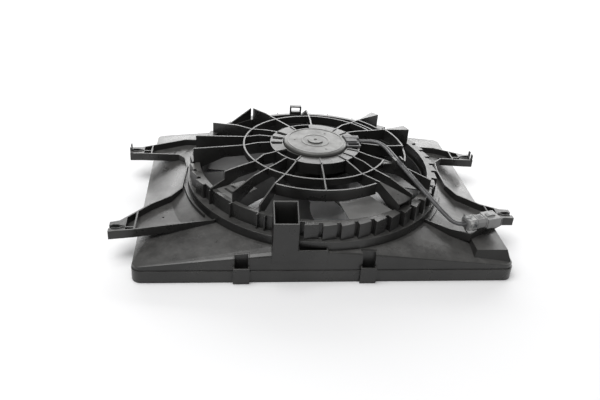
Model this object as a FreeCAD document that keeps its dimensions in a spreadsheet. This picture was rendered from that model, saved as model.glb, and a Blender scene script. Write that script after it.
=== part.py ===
import FreeCAD, Part
import math
import os
import re
import Sketcher
from FreeCAD import Placement, Rotation, Vector

# A radiator cooling fan assembly, lying on its radiator face.
# Origin: the fan axis, on the plane of the radiator face. X runs along the long side of the hood,
# Y across it, and Z points from the radiator to the motor. Everything is in millimetres.

# Driving dimensions, each written once. Angles are in degrees, counter-clockwise from X.
SIZES = {
    "hood": {
        "hood_length": 620,
        "hood_depth": 478,
        "hood_shift": 3,
        "hood_corner": 16,
        "corner_facets": 12,
        "hood_wall": 2.5,
        "skirt_height": 21,
        "skirt_step": 2,
        "flange_height": 29,
        "hood_top": 54,
        "foot_margin": 6,
    },
    "corner pad": {
        "pad_side_margin": 3,
        "pad_front_margin": 9,
        "pad_width": 70,
        "pad_depth": 100,
        "pad_slope": 9,
        "pad_base": 24,
        "pad_top": 49,
    },
    "barrel": {
        "bore_radius": 207.5,
        "barrel_wall": 2.5,
        "barrel_top": 97,
        "barrel_lip": 22.5,
        "barrel_lip_height": 16,
        "throat_depth": 6,
        "tooth_root": 8.5,
        "tooth_tip": 10,
        "tooth_fall": 5,
        "tooth_count": 48,
        "tooth_phase": 5,
        "tooth_gap": 1.6,
        "plain_front_start": 208,
        "plain_front_end": 258,
        "plain_rear_start": 60,
        "plain_rear_end": 116,
    },
    "guard": {
        "rib_width": 2.6,
        "rib_depth": 21,
        "rib_top_hub": 131,
        "rib_top_inner": 128,
        "rib_top_outer": 126.5,
        "rib_end_flush": 124.5,
        "rib_end_high": 120,
        "rib_end_middle": 116,
        "rib_end_low": 110,
        "rib_end_flat": 99,
        "rib_step_inset": 16.5,
        "rib_step_low": 100,
        "ring_width": 3,
        "ring_depth": 12,
        "inner_ring_radius": 129,
        "inner_ring_start": 31,
        "inner_ring_end": 335,
        "outer_ring_radius": 164,
        "outer_ring_depth": 20,
        "outer_front_start": 241,
        "outer_front_end": 302,
        "outer_side_start": 1,
        "outer_side_end": 30,
        "tongue_start": -18,
        "tongue_top": 123,
        "tongue_bottom": 105,
        "brace_radius": 147,
        "brace_gap": 7,
        "panel_start": 121.5,
        "panel_end": 137,
        "panel_seat": 5,
        "panel_high": 120,
        "panel_low": 100,
    },
    "cover plates": {
        "plate_reach": 54.5,
        "plate_thickness": 2.5,
        "plate_right_start": 279.5,
        "plate_right_end": 302,
        "plate_left_start": 211.2,
        "plate_left_end": 225,
        "vent_width": 5,
        "vent_outer": 10.5,
        "vent_inner": 24.5,
        "vent_margin": 2.5,
    },
    "motor mounting ring": {
        "mount_outer": 81.5,
        "mount_inner": 58.5,
        "mount_wall": 2.5,
        "mount_top": 131,
        "mount_plate": 3.5,
        "mount_skirt": 21,
        "mount_collar": 12,
        "window_inset": 2.5,
        "boss_radius": 6,
        "boss_circle": 66,
        "boss_bottom": 117,
        "boss_phase": 25,
        "boss_count": 3,
    },
    "motor": {
        "can_radius": 57,
        "can_wall": 2,
        "can_top": 136.5,
        "can_bottom": 76,
        "can_round": 3.5,
        "can_boss_radius": 14,
        "can_boss_height": 2,
        "can_dimple_radius": 3,
        "can_dimple_depth": 1.2,
        "ear_width": 15,
        "ear_thickness": 2.5,
        "screw_radius": 2.5,
        "screw_head_radius": 4.5,
        "screw_head_height": 4,
        "screw_clearance": 0.3,
        "screw_depth": 10,
        "cap_thickness": 4,
        "cap_boss_radius": 15,
        "cap_boss_depth": 5,
        "bearing_radius": 11,
        "bearing_height": 8,
        "bearing_race": 2.6,
        "bush_radius": 8,
        "bush_height": 9,
        "bush_housing": 11,
        "shaft_radius": 4,
        "shaft_clearance": 0.04,
        "shaft_bottom": 36,
        "shaft_end_gap": 1,
        "magnet_thickness": 13,
        "magnet_height": 34,
        "magnet_bottom": 89,
        "magnet_arc": 140,
        "air_gap": 1,
        "core_height": 26,
        "core_bottom": 93,
        "slot_count": 12,
        "slot_width": 3.2,
        "slot_depth": 9,
        "winding_inner": 15,
        "winding_height": 3,
        "winding_margin": 6,
        "commutator_radius": 13,
        "commutator_height": 9,
        "commutator_bottom": 80,
        "card_outer": 53,
        "card_inner": 17,
        "card_thickness": 2,
        "brush_length": 15,
        "brush_width": 7,
        "brush_height": 6,
        "brush_gap": 0.3,
        "holder_wall": 1.5,
        "spring_radius": 2.4,
        "spring_length": 9,
        "spring_coils": 4,
        "spring_wire": 0.6,
    },
    "fan": {
        "band_clearance": 3.5,
        "band_wall": 2.5,
        "band_bottom": 44,
        "band_height": 34,
        "band_lip": 3,
        "hub_radius": 74,
        "hub_wall": 2.5,
        "hub_bottom": 51,
        "hub_height": 47,
        "hub_floor": 3,
        "hub_boss_radius": 15,
        "hub_boss_height": 9,
        "insert_radius": 9,
        "insert_flange": 12,
        "insert_flange_height": 2,
        "hub_rib_height": 7,
        "hub_rib_width": 2.5,
        "nut_width": 13,
        "nut_height": 7,
        "washer_radius": 10,
        "washer_height": 1.5,
        "blade_count": 7,
        "blade_phase": -60,
        "blade_middle": 63,
        "blade_edge": 1.6,
        "blade_thickness": 3.2,
        "blade_camber": 5,
        "blade_overlap": 12,
        "root_chord": 46,
        "root_rise": 29,
        "root_sweep": -6,
        "middle_chord": 68,
        "middle_rise": 28,
        "middle_sweep": -1,
        "outer_chord": 96,
        "outer_rise": 26,
        "outer_sweep": 3,
        "tip_chord": 124,
        "tip_rise": 25,
        "tip_sweep": 4,
    },
    "arms": {
        "arm_bottom": 45,
        "arm_top": 60,
        "arm_wall": 2.5,
        "arm_floor": 2.5,
        "arm_tip_length": 26,
        "arm_slot_width": 9,
        "arm_slot_depth": 19,
        "arm_drain_radius": 2,
        "arm_rib_width": 2.5,
        "arm_cross_place": 39,
        "nib_height": 10,
        "nib_length": 4,
        "nib_overhang": 6,
    },
    "sockets": {
        "socket_left": 88,
        "socket_right": 48,
        "socket_depth": 38,
        "socket_wall": 2.5,
        "socket_front_top": 107,
        "socket_back_top": 128,
        "pocket_right": 0,
        "pocket_depth": 14,
        "pocket_top": 59,
        "pedestal_left": 89,
        "pedestal_bottom": 36,
        "rear_clip_left": 28,
        "rear_clip_right": 4,
        "rear_clip_depth": 8.5,
        "rear_clip_height": 18,
        "rear_clip_wall": 3,
        "edge_clip_width": 26,
        "edge_clip_depth": 18,
        "edge_clip_proud": 5,
        "edge_clip_wall": 2.5,
        "edge_clip_back": 52,
        "edge_clip_left": -136,
        "edge_clip_right": 67,
    },
    "lead and connector": {
        "lead_radius": 2.3,
        "lead_spacing": 5,
        "grommet_width": 13,
        "grommet_height": 7,
        "ledge_width": 14,
        "ledge_height": 3,
        "ledge_wall": 2.5,
        "lead_gap": 1,
        "lead_cover": 0.5,
        "connector_x": 238,
        "connector_y": -177,
        "connector_bottom": 63,
        "connector_yaw": 15,
        "connector_height": 18,
        "barrel_length": 36,
        "barrel_width": 24,
        "block_length": 25,
        "block_width": 28,
        "block_wall": 2.5,
        "block_cavity": 18,
        "latch_window": 5,
        "seal_length": 6,
        "seal_radius": 3.8,
        "terminal_length": 12,
        "terminal_width": 5,
        "terminal_thickness": 1.2,
        "bracket_length": 30,
        "bracket_width": 16,
        "saddle_length": 14,
        "saddle_floor": 1.2,
        "saddle_grip": 7,
        "saddle_height": 8,
        "saddle_post": 3,
        "saddle_play": 0.6,
    },
}

# The route of the motor lead, from the grommet on the can to the back of the connector.
LEAD_ROUTE = [
    (82, 4, 134.5),
    (113, 4, 135),
    (127, -20, 134.5),
    (134, -54, 133),
    (142, -84, 131.4),
    (163, -116, 115.5),
    (203.5, -166, 83.5),
    (216, -177, 75),
    (228.95, -179.42, 72),
    (239, -176.73, 72),
]

# Each arc of the lead takes this share of the shorter run beside it.
ARC_SHARE = 0.45

# The saddle holds the lead on the run that starts at this point of the route.
SADDLE_START = LEAD_ROUTE[3]

# Plan of each guard rib: the angle where it leaves the mounting ring, at its jog, at the inner ring
# and at its outer end, then how far it reaches past the bore, the width of that end and its height.
# A rib without a reach ends at the outer ring.
RIBS = {
    "left": ((178.5, 179, 182.5, 184), 11.5, 2.6, "rib_end_flush"),
    "left_rear": ((161, 161, 166.5, 170), 11.5, 2.6, "rib_end_flush"),
    "rear_left": ((144.5, 147, 150.5, 148), 11.5, 2.6, "rib_end_middle"),
    "rear_gusset": ((120, 120, 120, 120), 3.5, 2.6, "rib_end_high"),
    "rear": ((89, 88.5, 89, 90), 5, 2.6, "rib_end_flat"),
    "rear_right": ((53.3, 54, 51, 48), 4.5, 17, "rib_end_flush"),
    "right_rear": ((37, 34, 30.5, 25), 4.5, 20, "rib_end_flush"),
    "right_loop": ((3, 1, 359.5, 2), None, 2.6, "rib_end_flush"),
    "right": ((338, 334.5, 334, 330.5), 11.5, 2.6, "rib_end_middle"),
    "right_front": ((320.5, 319, 315, 313), 6.5, 2.6, "rib_end_middle"),
    "front_channel": ((306, 303.5, 302, 307.5), 8, 34, "rib_end_low"),
    "front": ((271.5, 271, 270.5, 270), None, 2.6, "rib_end_flush"),
    "front_left": ((240, 241, 241, 239.5), 4.5, 2.6, "rib_end_low"),
    "left_front": ((226, 226, 225.5, 225.5), 6.5, 2.6, "rib_end_middle"),
    "left_channel": ((206, 205, 211, 211.5), 11.5, 2.6, "rib_end_low"),
}
STEPPED_RIB = "left_channel"

# Windows in the mounting ring: first and last angle.
WINDOWS = {
    "front_left_window": (208, 238),
    "rear_window": (93, 117),
    "rear_left_slit": (146.5, 150.5),
    "left_upper_slit": (164, 168),
    "left_slit": (180.5, 184.5),
    "right_window": (342, 358),
}

# Plan of each arm: its front and rear edges from the tip to the barrel, then the line of its slot.
ARMS = {
    "arm_front_left": {
        "front": [(-346, -184), (-307, -178), (-218, -157), (-180, -150), (-150, -120)],
        "rear": [(-346, -156), (-331, -151), (-288, -98), (-257, -70), (-240, -42), (-235, 40), (-190, 40)],
        "slot": -170,
        "drain": (-265, -122),
    },
    "arm_rear_left": {
        "front": [(-345, 89), (-320, 90), (-252, 87), (-240, 72), (-235, 40), (-190, 40)],
        "rear": [(-345, 117), (-325, 118), (-244, 156), (-210, 156), (-150, 130)],
        "slot": 103,
        "drain": (-262, 118),
    },
    "arm_front_right": {
        "front": [(340, -141), (321, -141), (246, -192), (214, -176), (183, -150), (150, -120)],
        "rear": [(340, -113), (324, -111), (294, -94), (262, -60), (251, -25), (251, 30), (190, 30)],
        "slot": -127,
        "drain": (262, -112),
    },
    "arm_rear_right": {
        "front": [(337, 78), (321, 79), (272, 84), (256, 68), (251, 30), (190, 30)],
        "rear": [(337, 104), (324, 104), (270, 134), (220, 140), (150, 130)],
        "slot": 91,
        "drain": (276, 108),
    },
}

doc = FreeCAD.newDocument("RadiatorFan")
sheet = doc.addObject("Spreadsheet::Sheet", "Sizes")


def write_sheet():
    # one row for each driving dimension: its group, its name and its value
    row = 1
    for group, values in SIZES.items():
        for name, value in values.items():
            sheet.set("A%d" % row, group)
            sheet.set("B%d" % row, str(value))
            sheet.setAlias("B%d" % row, name)
            row += 1
    doc.recompute()


def size(name):
    return float(sheet.get(name))


def tie(piece, rules):
    # binds properties to the sheet; a rule is arithmetic on the names of the dimensions
    for target, rule in rules.items():
        piece.setExpression(target, re.sub(r"\b(?!cos|sin|tan)[a-z][a-z_]+", r"Sizes.\g<0>", rule))


def box(name, corner, extent):
    piece = doc.addObject("Part::Box", name)
    tie(piece, {
        "Placement.Base.x": corner[0],
        "Placement.Base.y": corner[1],
        "Placement.Base.z": corner[2],
        "Length": extent[0],
        "Width": extent[1],
        "Height": extent[2],
    })
    return piece


def cylinder(name, radius, bottom, height, x="0", y="0"):
    piece = doc.addObject("Part::Cylinder", name)
    tie(piece, {
        "Radius": radius,
        "Height": height,
        "Placement.Base.x": x,
        "Placement.Base.y": y,
        "Placement.Base.z": bottom,
    })
    return piece


def cut(name, base, tool):
    piece = doc.addObject("Part::Cut", name)
    piece.Base = base
    piece.Tool = tool
    return piece


def fuse(name, pieces):
    piece = doc.addObject("Part::MultiFuse", name)
    piece.Shapes = pieces
    piece.Refine = True
    return piece


def washer(name, outer, inner, bottom, height):
    disc = cylinder(name + "_disc", outer, bottom, height)
    hole = cylinder(name + "_hole", inner, bottom, height)
    return cut(name, disc, hole)


def formed(name, shape):
    # a shape worked out from the sheet, for a form that no single operation gives
    piece = doc.addObject("Part::Feature", name)
    piece.Shape = shape
    return piece


def origin_item(body, role):
    for item in body.Origin.OriginFeatures:
        if item.Role == role:
            return item
    raise ValueError(role)


def outline(body, name, role, corners, level=None):
    # a closed sketch of straight sides, each corner tied to the sheet by two distances
    sketch = body.newObject("Sketcher::SketchObject", name)
    sketch.AttachmentSupport = [(origin_item(body, role), "")]
    sketch.MapMode = "FlatFace"
    if level:
        tie(sketch, {"AttachmentOffset.Base.z": level})
    count = len(corners)
    start = []
    for number in range(count):
        angle = 2 * math.pi * number / count
        start.append(Vector(50 * math.cos(angle), 50 * math.sin(angle), 0))
    for number in range(count):
        sketch.addGeometry(Part.LineSegment(start[number], start[(number + 1) % count]), False)
    for number in range(count):
        sketch.addConstraint(Sketcher.Constraint("Coincident", number, 2, (number + 1) % count, 1))
    for number, (across, up) in enumerate(corners):
        for kind, axis, rule in (("DistanceX", -2, across), ("DistanceY", -1, up)):
            if rule == "0":
                sketch.addConstraint(Sketcher.Constraint("PointOnObject", number, 1, axis))
            else:
                place = sketch.addConstraint(Sketcher.Constraint(kind, -1, 1, number, 1, 1.0))
                tie(sketch, {"Constraints[%d]" % place: rule})
    return sketch


def circle(body, name, role, radius, level=None, x=None, y=None):
    sketch = body.newObject("Sketcher::SketchObject", name)
    sketch.AttachmentSupport = [(origin_item(body, role), "")]
    sketch.MapMode = "FlatFace"
    if level:
        tie(sketch, {"AttachmentOffset.Base.z": level})
    sketch.addGeometry(Part.Circle(Vector(1, 1, 0), Vector(0, 0, 1), 5), False)
    place = sketch.addConstraint(Sketcher.Constraint("Radius", 0, 5.0))
    tie(sketch, {"Constraints[%d]" % place: radius})
    for kind, axis, rule in (("DistanceX", -2, x), ("DistanceY", -1, y)):
        if rule:
            place = sketch.addConstraint(Sketcher.Constraint(kind, -1, 1, 0, 3, 1.0))
            tie(sketch, {"Constraints[%d]" % place: rule})
        else:
            sketch.addConstraint(Sketcher.Constraint("PointOnObject", 0, 3, axis))
    return sketch


def new_body(name):
    body = doc.addObject("PartDesign::Body", name)
    body.Label = name
    return body


def revolve(body, corners):
    # turns a half section, given as radius and height, about Z
    sketch = outline(body, body.Name + "_section", "XZ_Plane", corners)
    turned = body.newObject("PartDesign::Revolution", body.Name + "_turned")
    turned.Profile = sketch
    turned.ReferenceAxis = (sketch, ["V_Axis"])
    turned.Angle = 360
    sketch.Visibility = False
    return turned


def pad(body, name, sketch, height):
    raised = body.newObject("PartDesign::Pad", name)
    raised.Profile = sketch
    tie(raised, {"Length": height})
    return raised


def pocket(body, name, sketch, depth, upward=False):
    # cuts a pocket and makes sure that it removed material
    doc.recompute()
    before = body.Shape.Volume
    sunk = body.newObject("PartDesign::Pocket", name)
    sunk.Profile = sketch
    sunk.Reversed = upward
    tie(sunk, {"Length": depth})
    doc.recompute()
    if body.Shape.Volume > before - 1e-3:
        raise ValueError(name + " cuts nothing")
    return sunk


def around(body, feature, count):
    # repeats a feature evenly about Z
    pattern = body.newObject("PartDesign::PolarPattern", feature.Name + "_pattern")
    pattern.Originals = [feature]
    pattern.Axis = (origin_item(body, "Z_Axis"), [""])
    pattern.Angle = 360
    tie(pattern, {"Occurrences": count})
    body.Tip = pattern
    return pattern


def polar(radius, angle, height=0.0):
    return Vector(radius * math.cos(math.radians(angle)), radius * math.sin(math.radians(angle)), height)


def polygon_face(points):
    return Part.Face(Part.makePolygon(list(points) + [points[0]]))


def prism(points, bottom, top):
    face = polygon_face([Vector(point.x, point.y, bottom) for point in points])
    return face.extrude(Vector(0, 0, top - bottom))


# The hood: a skirt with a small step, a flange and a sloping roof that runs up to the barrel.

def lip_radius():
    return size("bore_radius") + size("barrel_lip")


def root_radius():
    return size("bore_radius") + size("tooth_root")


def rounded_points(half_x, half_y, corner, level, centre):
    # a rectangle with round corners as a row of points, the same number for every size
    facets = int(size("corner_facets"))
    points = []
    for quarter, (side, way) in enumerate(((1, -1), (1, 1), (-1, 1), (-1, -1))):
        middle = Vector(centre + side * (half_x - corner), way * (half_y - corner), level)
        for number in range(facets + 1):
            points.append(middle + polar(corner, 90 * (quarter - 1 + number / facets)))
    return points


def frustum(low, high):
    # a solid between two outlines whose sides are parallel, pair by pair
    faces = [polygon_face(low), polygon_face(high)]
    for number in range(len(low)):
        after = (number + 1) % len(low)
        faces.append(polygon_face([low[number], low[after], high[after], high[number]]))
    solid = Part.makeSolid(Part.makeShell(faces))
    if solid.Volume < 0:
        solid.reverse()
    return solid


def hood_volume(inset, bottom):
    half_x = size("hood_length") / 2 - inset
    half_y = size("hood_depth") / 2 - inset
    step = size("skirt_step")
    corner = size("hood_corner") - inset
    shift = size("hood_shift")
    eave_height = size("flange_height") - inset
    ridge_height = size("hood_top") - inset
    foot = lip_radius() + size("foot_margin") - inset
    skirt = prism(rounded_points(half_x, half_y, corner, 0, shift), bottom, size("skirt_height") - inset)
    edge = rounded_points(half_x - step, half_y - step, corner - step, eave_height, shift)
    ridge = rounded_points(foot, foot, foot - 1, ridge_height, 0)
    roof = frustum(edge, ridge).common(prism(edge, bottom, ridge_height + 1))
    return skirt.fuse([prism(edge, bottom, eave_height), roof]).removeSplitter()


def pad_volume(inset):
    # the raised corner of the hood, a truncated pyramid
    right = size("hood_shift") + size("hood_length") / 2 - size("pad_side_margin") - inset
    left = right + inset - size("pad_width") + inset
    front = -size("hood_depth") / 2 + size("pad_front_margin") + inset
    back = front - inset + size("pad_depth") - inset
    outlines = []
    for level, pull in ((size("pad_base") - inset, 0), (size("pad_top") - inset, size("pad_slope"))):
        outlines.append([
            Vector(left + pull, front + pull, level),
            Vector(right - pull, front + pull, level),
            Vector(right - pull, back - pull, level),
            Vector(left + pull, back - pull, level),
        ])
    return frustum(*outlines)


def edge_clip_block(centre):
    half = size("edge_clip_width") / 2
    front = -size("hood_depth") / 2 - size("edge_clip_proud")
    back = front + size("edge_clip_depth")
    corners = [Vector(centre - half, front), Vector(centre + half, front)]
    corners += [Vector(centre + half, back), Vector(centre - half, back)]
    return corners


def build_hood():
    wall = size("hood_wall")
    outer = formed("hood_outside", hood_volume(0, 0).fuse(pad_volume(0)))
    inner = formed("hood_inside", hood_volume(wall, -1).fuse(pad_volume(wall)))
    shell = cut("hood_shell", outer, inner)
    bore = cylinder("hood_bore", "bore_radius + barrel_lip - barrel_wall", "hood_top - 2 * hood_wall",
                    "3 * hood_wall")
    sides = []
    for label in ("edge_clip_left", "edge_clip_right"):
        corners = edge_clip_block(size(label))
        sides.append(formed(label + "_gap", prism(corners, -1, size("hood_top"))))
    pedestal = formed("pedestal_gap", pedestal_block())
    return cut("shroud_hood", shell, fuse("hood_gaps", [bore, pedestal] + sides))


# The barrel: a bore for the fan inside a crown of slanting teeth, on a band that stands on the hood.

def tooth_points(inset):
    count = int(size("tooth_count"))
    pitch = 360.0 / count
    root = root_radius() - inset
    tip = root + size("tooth_tip")
    fall = size("tooth_fall")
    gap = size("tooth_gap")
    lean = math.degrees(inset / root_radius())
    points = []
    for number in range(count):
        start = size("tooth_phase") + number * pitch
        middle = start + pitch / 2
        front_plain = size("plain_front_start") < middle < size("plain_front_end")
        rear_plain = size("plain_rear_start") < middle < size("plain_rear_end")
        if front_plain or rear_plain:
            points.append(polar(root, start))
            continue
        points.append(polar(root, start + lean))
        points.append(polar(tip, start + lean))
        points.append(polar(tip - fall, start + pitch - gap - lean))
        points.append(polar(root, start + pitch - gap - lean))
    return points


def barrel_solid():
    foot = size("hood_top")
    top = size("barrel_top")
    wall = size("barrel_wall")
    bore = size("bore_radius")
    throat_low = foot - size("throat_depth")
    lip_height = size("barrel_lip_height")
    crown = prism(tooth_points(0), foot, top)
    lip = Part.makeCylinder(lip_radius(), lip_height, Vector(0, 0, foot))
    throat = Part.makeCylinder(bore + wall, top - throat_low, Vector(0, 0, throat_low))
    under_lip = Part.makeCylinder(lip_radius() - wall, lip_height, Vector(0, 0, foot - wall))
    hollow = prism(tooth_points(wall), foot - wall, top - wall).fuse(under_lip)
    hollow = hollow.cut(Part.makeCylinder(bore + wall, top, Vector(0, 0, 0)))
    solid = crown.fuse([lip, throat]).cut(hollow)
    return solid.cut(Part.makeCylinder(bore, 2 * top, Vector(0, 0, 0))).removeSplitter()


def build_barrel():
    whole = formed("barrel_whole", barrel_solid())
    space = formed("front_socket_space", socket_block().fuse(pedestal_block()))
    return cut("fan_barrel", whole, space)


# The front socket: an open box with slanting sides on a pedestal, beside a low open pocket.

def socket_face():
    return -size("hood_depth") / 2 + size("skirt_step")


def socket_block():
    left, right = -size("socket_left"), -size("socket_right")
    front, back = socket_face(), socket_face() + size("socket_depth")
    low = size("pocket_top")
    side = polygon_face([
        Vector(left, front, low),
        Vector(left, back, low),
        Vector(left, back, size("socket_back_top")),
        Vector(left, front, size("socket_front_top")),
    ])
    return side.extrude(Vector(right - left, 0, 0))


def plan_box(left, right, front, back, low, high):
    return Part.makeBox(right - left, back - front, high - low, Vector(left, front, low))


def pedestal_block():
    front = socket_face()
    return plan_box(-size("pedestal_left"), size("pocket_right"), front, front + size("pocket_depth"),
                    size("pedestal_bottom"), size("pocket_top"))


def build_front_socket():
    wall = size("socket_wall")
    left, right = -size("socket_left") + wall, -size("socket_right") - wall
    front, back = socket_face() + wall, socket_face() + size("socket_depth") - wall
    low, top = size("pedestal_bottom"), size("pocket_top")
    pocket_back = socket_face() + size("pocket_depth") - wall
    hollows = [
        plan_box(left, right, front, back, top + wall, size("socket_back_top") + 1),
        plan_box(right + 2 * wall, size("pocket_right") - wall, front, pocket_back, low + wall, top + 1),
        plan_box(-size("pedestal_left") + wall, right, front, pocket_back, low - 1, top - wall),
    ]
    block = formed("front_socket_block", socket_block().fuse(pedestal_block()).removeSplitter())
    return cut("front_socket", block, formed("front_socket_hollows", Part.makeCompound(hollows)))


# The guard: thin deep ribs from the mounting ring to the crown, with two rings between them.

def outer_edge():
    return size("outer_ring_radius") + size("ring_width") / 2


def guard_envelope(name, lowered=0.0):
    # the space that a rib fills, turned from its side view
    _, reach, _, end_name = RIBS[name]
    depth = size("rib_depth")
    bore = size("bore_radius")
    top = size("barrel_top")
    section = [
        (size("mount_outer"), size("rib_top_hub")),
        (size("inner_ring_radius"), size("rib_top_inner")),
        (size("outer_ring_radius"), size("rib_top_outer")),
    ]
    if reach is None:
        section += [(outer_edge(), size("rib_top_outer")), (outer_edge(), size("rib_top_outer") - depth)]
    else:
        end = bore + reach
        if name == STEPPED_RIB:
            step = bore - size("rib_step_inset")
            section += [(step, size("rib_end_flush")), (step, size(end_name)), (end, size("rib_step_low"))]
        else:
            section.append((end, size(end_name)))
        section += [(end, top), (bore, top), (bore, top - depth / 2)]
        section.append((size("outer_ring_radius"), size("rib_top_outer") - depth))
    section.append((size("mount_outer"), size("rib_top_hub") - depth))
    face = polygon_face([Vector(across, 0, up - lowered) for across, up in section])
    return face.revolve(Vector(0, 0, 0), Vector(0, 0, 1), 360)


def strip(points, widths):
    # a plan band round a line of points, as wide as each point asks
    sides = ([], [])
    for number, point in enumerate(points):
        before = points[max(number - 1, 0)]
        after = points[min(number + 1, len(points) - 1)]
        along = (after - before).normalize()
        across = Vector(-along.y, along.x, 0)
        sides[0].append(point + across * (widths[number] / 2))
        sides[1].append(point - across * (widths[number] / 2))
    return sides[0] + sides[1][::-1]


def rib_band(name, inset=0.0):
    angles, reach, end_width, _ = RIBS[name]
    width = size("rib_width")
    jog = (size("mount_outer") + size("inner_ring_radius")) / 2
    start = size("mount_outer") - size("mount_wall")
    inner = size("inner_ring_radius")
    outer = size("outer_ring_radius")
    end = outer_edge() if reach is None else size("bore_radius") + reach
    points = [polar(radius, angle) for radius, angle in zip((start, jog, inner, end), angles)]
    widths = [width, width, width]
    if reach is not None:
        # a broad end opens out from the outer ring
        points.insert(3, points[2] + (points[3] - points[2]) * ((outer - inner) / (end - inner)))
        widths.append(width)
    widths.append(end_width)
    widths = [max(number - 2 * inset, width / 4) for number in widths]
    return prism(strip(points, widths), 0, 2 * size("can_top"))


def rib_solids():
    ribs = {}
    for name, (_, _, end_width, _) in RIBS.items():
        rib = rib_band(name).common(guard_envelope(name))
        if end_width > 2 * size("rib_width"):
            # a broad end is a channel, open below
            room = rib_band(name, size("rib_width")).common(guard_envelope(name, size("rib_width")))
            middle = Part.makeCylinder(size("outer_ring_radius"), 2 * size("can_top"))
            rib = rib.cut(room.cut(middle))
        ribs[name] = rib
    return ribs


def ring_arc(radius, start, end, bottom, top):
    half = size("ring_width") / 2
    foot = Vector(0, 0, bottom)
    outer = Part.makeCylinder(radius + half, top - bottom, foot, Vector(0, 0, 1), end - start)
    inner = Part.makeCylinder(radius - half, top - bottom, foot)
    arc = outer.cut(inner)
    arc.rotate(Vector(0, 0, 0), Vector(0, 0, 1), start)
    return arc


def crown_panel():
    # an upright panel on the crown, with a top that falls to the left
    half = size("rib_width") / 2
    seat = size("bore_radius") + size("panel_seat")
    low = size("barrel_top")
    near, far = polar(seat, size("panel_start"), low), polar(seat, size("panel_end"), low)
    along = Vector(far - near).normalize()
    aside = Vector(-along.y, along.x, 0)
    side = polygon_face([
        near - aside * half,
        far - aside * half,
        far - aside * half + Vector(0, 0, size("panel_low") - low),
        near - aside * half + Vector(0, 0, size("panel_high") - low),
    ])
    return side.extrude(aside * (2 * half))


def cover_plate(first, last):
    top = size("barrel_top")
    thick = size("plate_thickness")
    bore = size("bore_radius")
    plate = Part.makeCylinder(bore, thick, Vector(0, 0, top - thick), Vector(0, 0, 1), last - first)
    plate = plate.cut(Part.makeCylinder(bore - size("plate_reach"), top, Vector(0, 0, 0)))
    plate.rotate(Vector(0, 0, 0), Vector(0, 0, 1), first)
    return plate


def build_cover_plates(bands):
    first, last = size("plate_left_start"), size("plate_left_end")
    left = cover_plate(first, last)
    margin = size("vent_margin")
    height = size("barrel_top")
    turn = last - first - 2 * margin
    for name in ("vent_outer", "vent_inner"):
        outer = size("bore_radius") - size(name)
        vent = Part.makeCylinder(outer, height, Vector(0, 0, 0), Vector(0, 0, 1), turn)
        vent = vent.cut(Part.makeCylinder(outer - size("vent_width"), height))
        vent.rotate(Vector(0, 0, 0), Vector(0, 0, 1), first + margin)
        left = left.cut(vent)
    right = cover_plate(size("plate_right_start"), size("plate_right_end"))
    formed("cover_plate_left", left.cut(bands))
    formed("cover_plate_right", right.cut(bands))


def build_guard():
    ribs = rib_solids()
    bands = Part.makeCompound([rib_band(name) for name in RIBS])
    inner_top = size("rib_top_inner")
    outer_top = size("rib_top_outer")
    depth = size("outer_ring_depth")
    ring = size("outer_ring_radius")
    inner = ring_arc(size("inner_ring_radius"), size("inner_ring_start"), size("inner_ring_end"),
                     inner_top - size("ring_depth"), inner_top)
    front = ring_arc(ring, size("outer_front_start"), size("outer_front_end"), outer_top - depth, outer_top)
    side = ring_arc(ring, size("outer_side_start"), size("outer_side_end"), outer_top - depth, outer_top)
    tongue = ring_arc(ring, size("tongue_start"), size("outer_side_start"), size("tongue_bottom"),
                      size("tongue_top"))
    braces = []
    for way in (-1, 1):
        radius = size("brace_radius") + way * size("brace_gap")
        arc = ring_arc(radius, RIBS["right_rear"][0][2], RIBS["rear_right"][0][2],
                       outer_top - size("ring_depth"), outer_top)
        braces.append(arc)
    formed("guard_ribs", Part.makeCompound(list(ribs.values()) + [crown_panel()]))
    formed("guard_ring_inner", inner.cut(bands))
    formed("guard_ring_outer", front.fuse([side, tongue] + braces).cut(bands))
    build_cover_plates(bands)


# The mounting ring: a plate with windows between a collar and a skirt, with screw bosses below.

def build_mounting_ring():
    body = new_body("mount_turned")
    under = "mount_top - mount_plate"
    revolve(body, [
        ("mount_inner", "mount_top"),
        ("mount_outer", "mount_top"),
        ("mount_outer", "mount_top - mount_skirt"),
        ("mount_outer - mount_wall", "mount_top - mount_skirt"),
        ("mount_outer - mount_wall", under),
        ("mount_inner + mount_wall", under),
        ("mount_inner + mount_wall", "mount_top - mount_collar"),
        ("mount_inner", "mount_top - mount_collar"),
    ])
    outer = size("mount_outer") - size("mount_wall")
    inner = size("mount_inner") + size("window_inset")
    depth = 2 * size("mount_plate")
    low = Vector(0, 0, size("mount_top") - depth)
    gaps = []
    for first, last in WINDOWS.values():
        wedge = Part.makeCylinder(outer, 2 * depth, low, Vector(0, 0, 1), last - first)
        wedge = wedge.cut(Part.makeCylinder(inner, 2 * depth, low))
        wedge.rotate(Vector(0, 0, 0), Vector(0, 0, 1), first)
        gaps.append(wedge)
    opened = cut("mount_opened", body, formed("mount_windows", Part.makeCompound(gaps)))
    posts = []
    holes = []
    for number in range(int(size("boss_count"))):
        x, y = boss_place(number)
        posts.append(cylinder("boss_%d" % number, "boss_radius", "boss_bottom",
                              "mount_top - mount_plate - boss_bottom", x, y))
        holes.append(cylinder("boss_hole_%d" % number, "screw_radius", "boss_bottom", "screw_depth", x, y))
    raised = fuse("mount_bossed", [opened] + posts)
    return cut("motor_mount_ring", raised, fuse("boss_holes", holes))


def boss_place(number):
    turn = "(boss_phase + %d * 360 / boss_count)" % number
    return "boss_circle * cos" + turn, "boss_circle * sin" + turn


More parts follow.
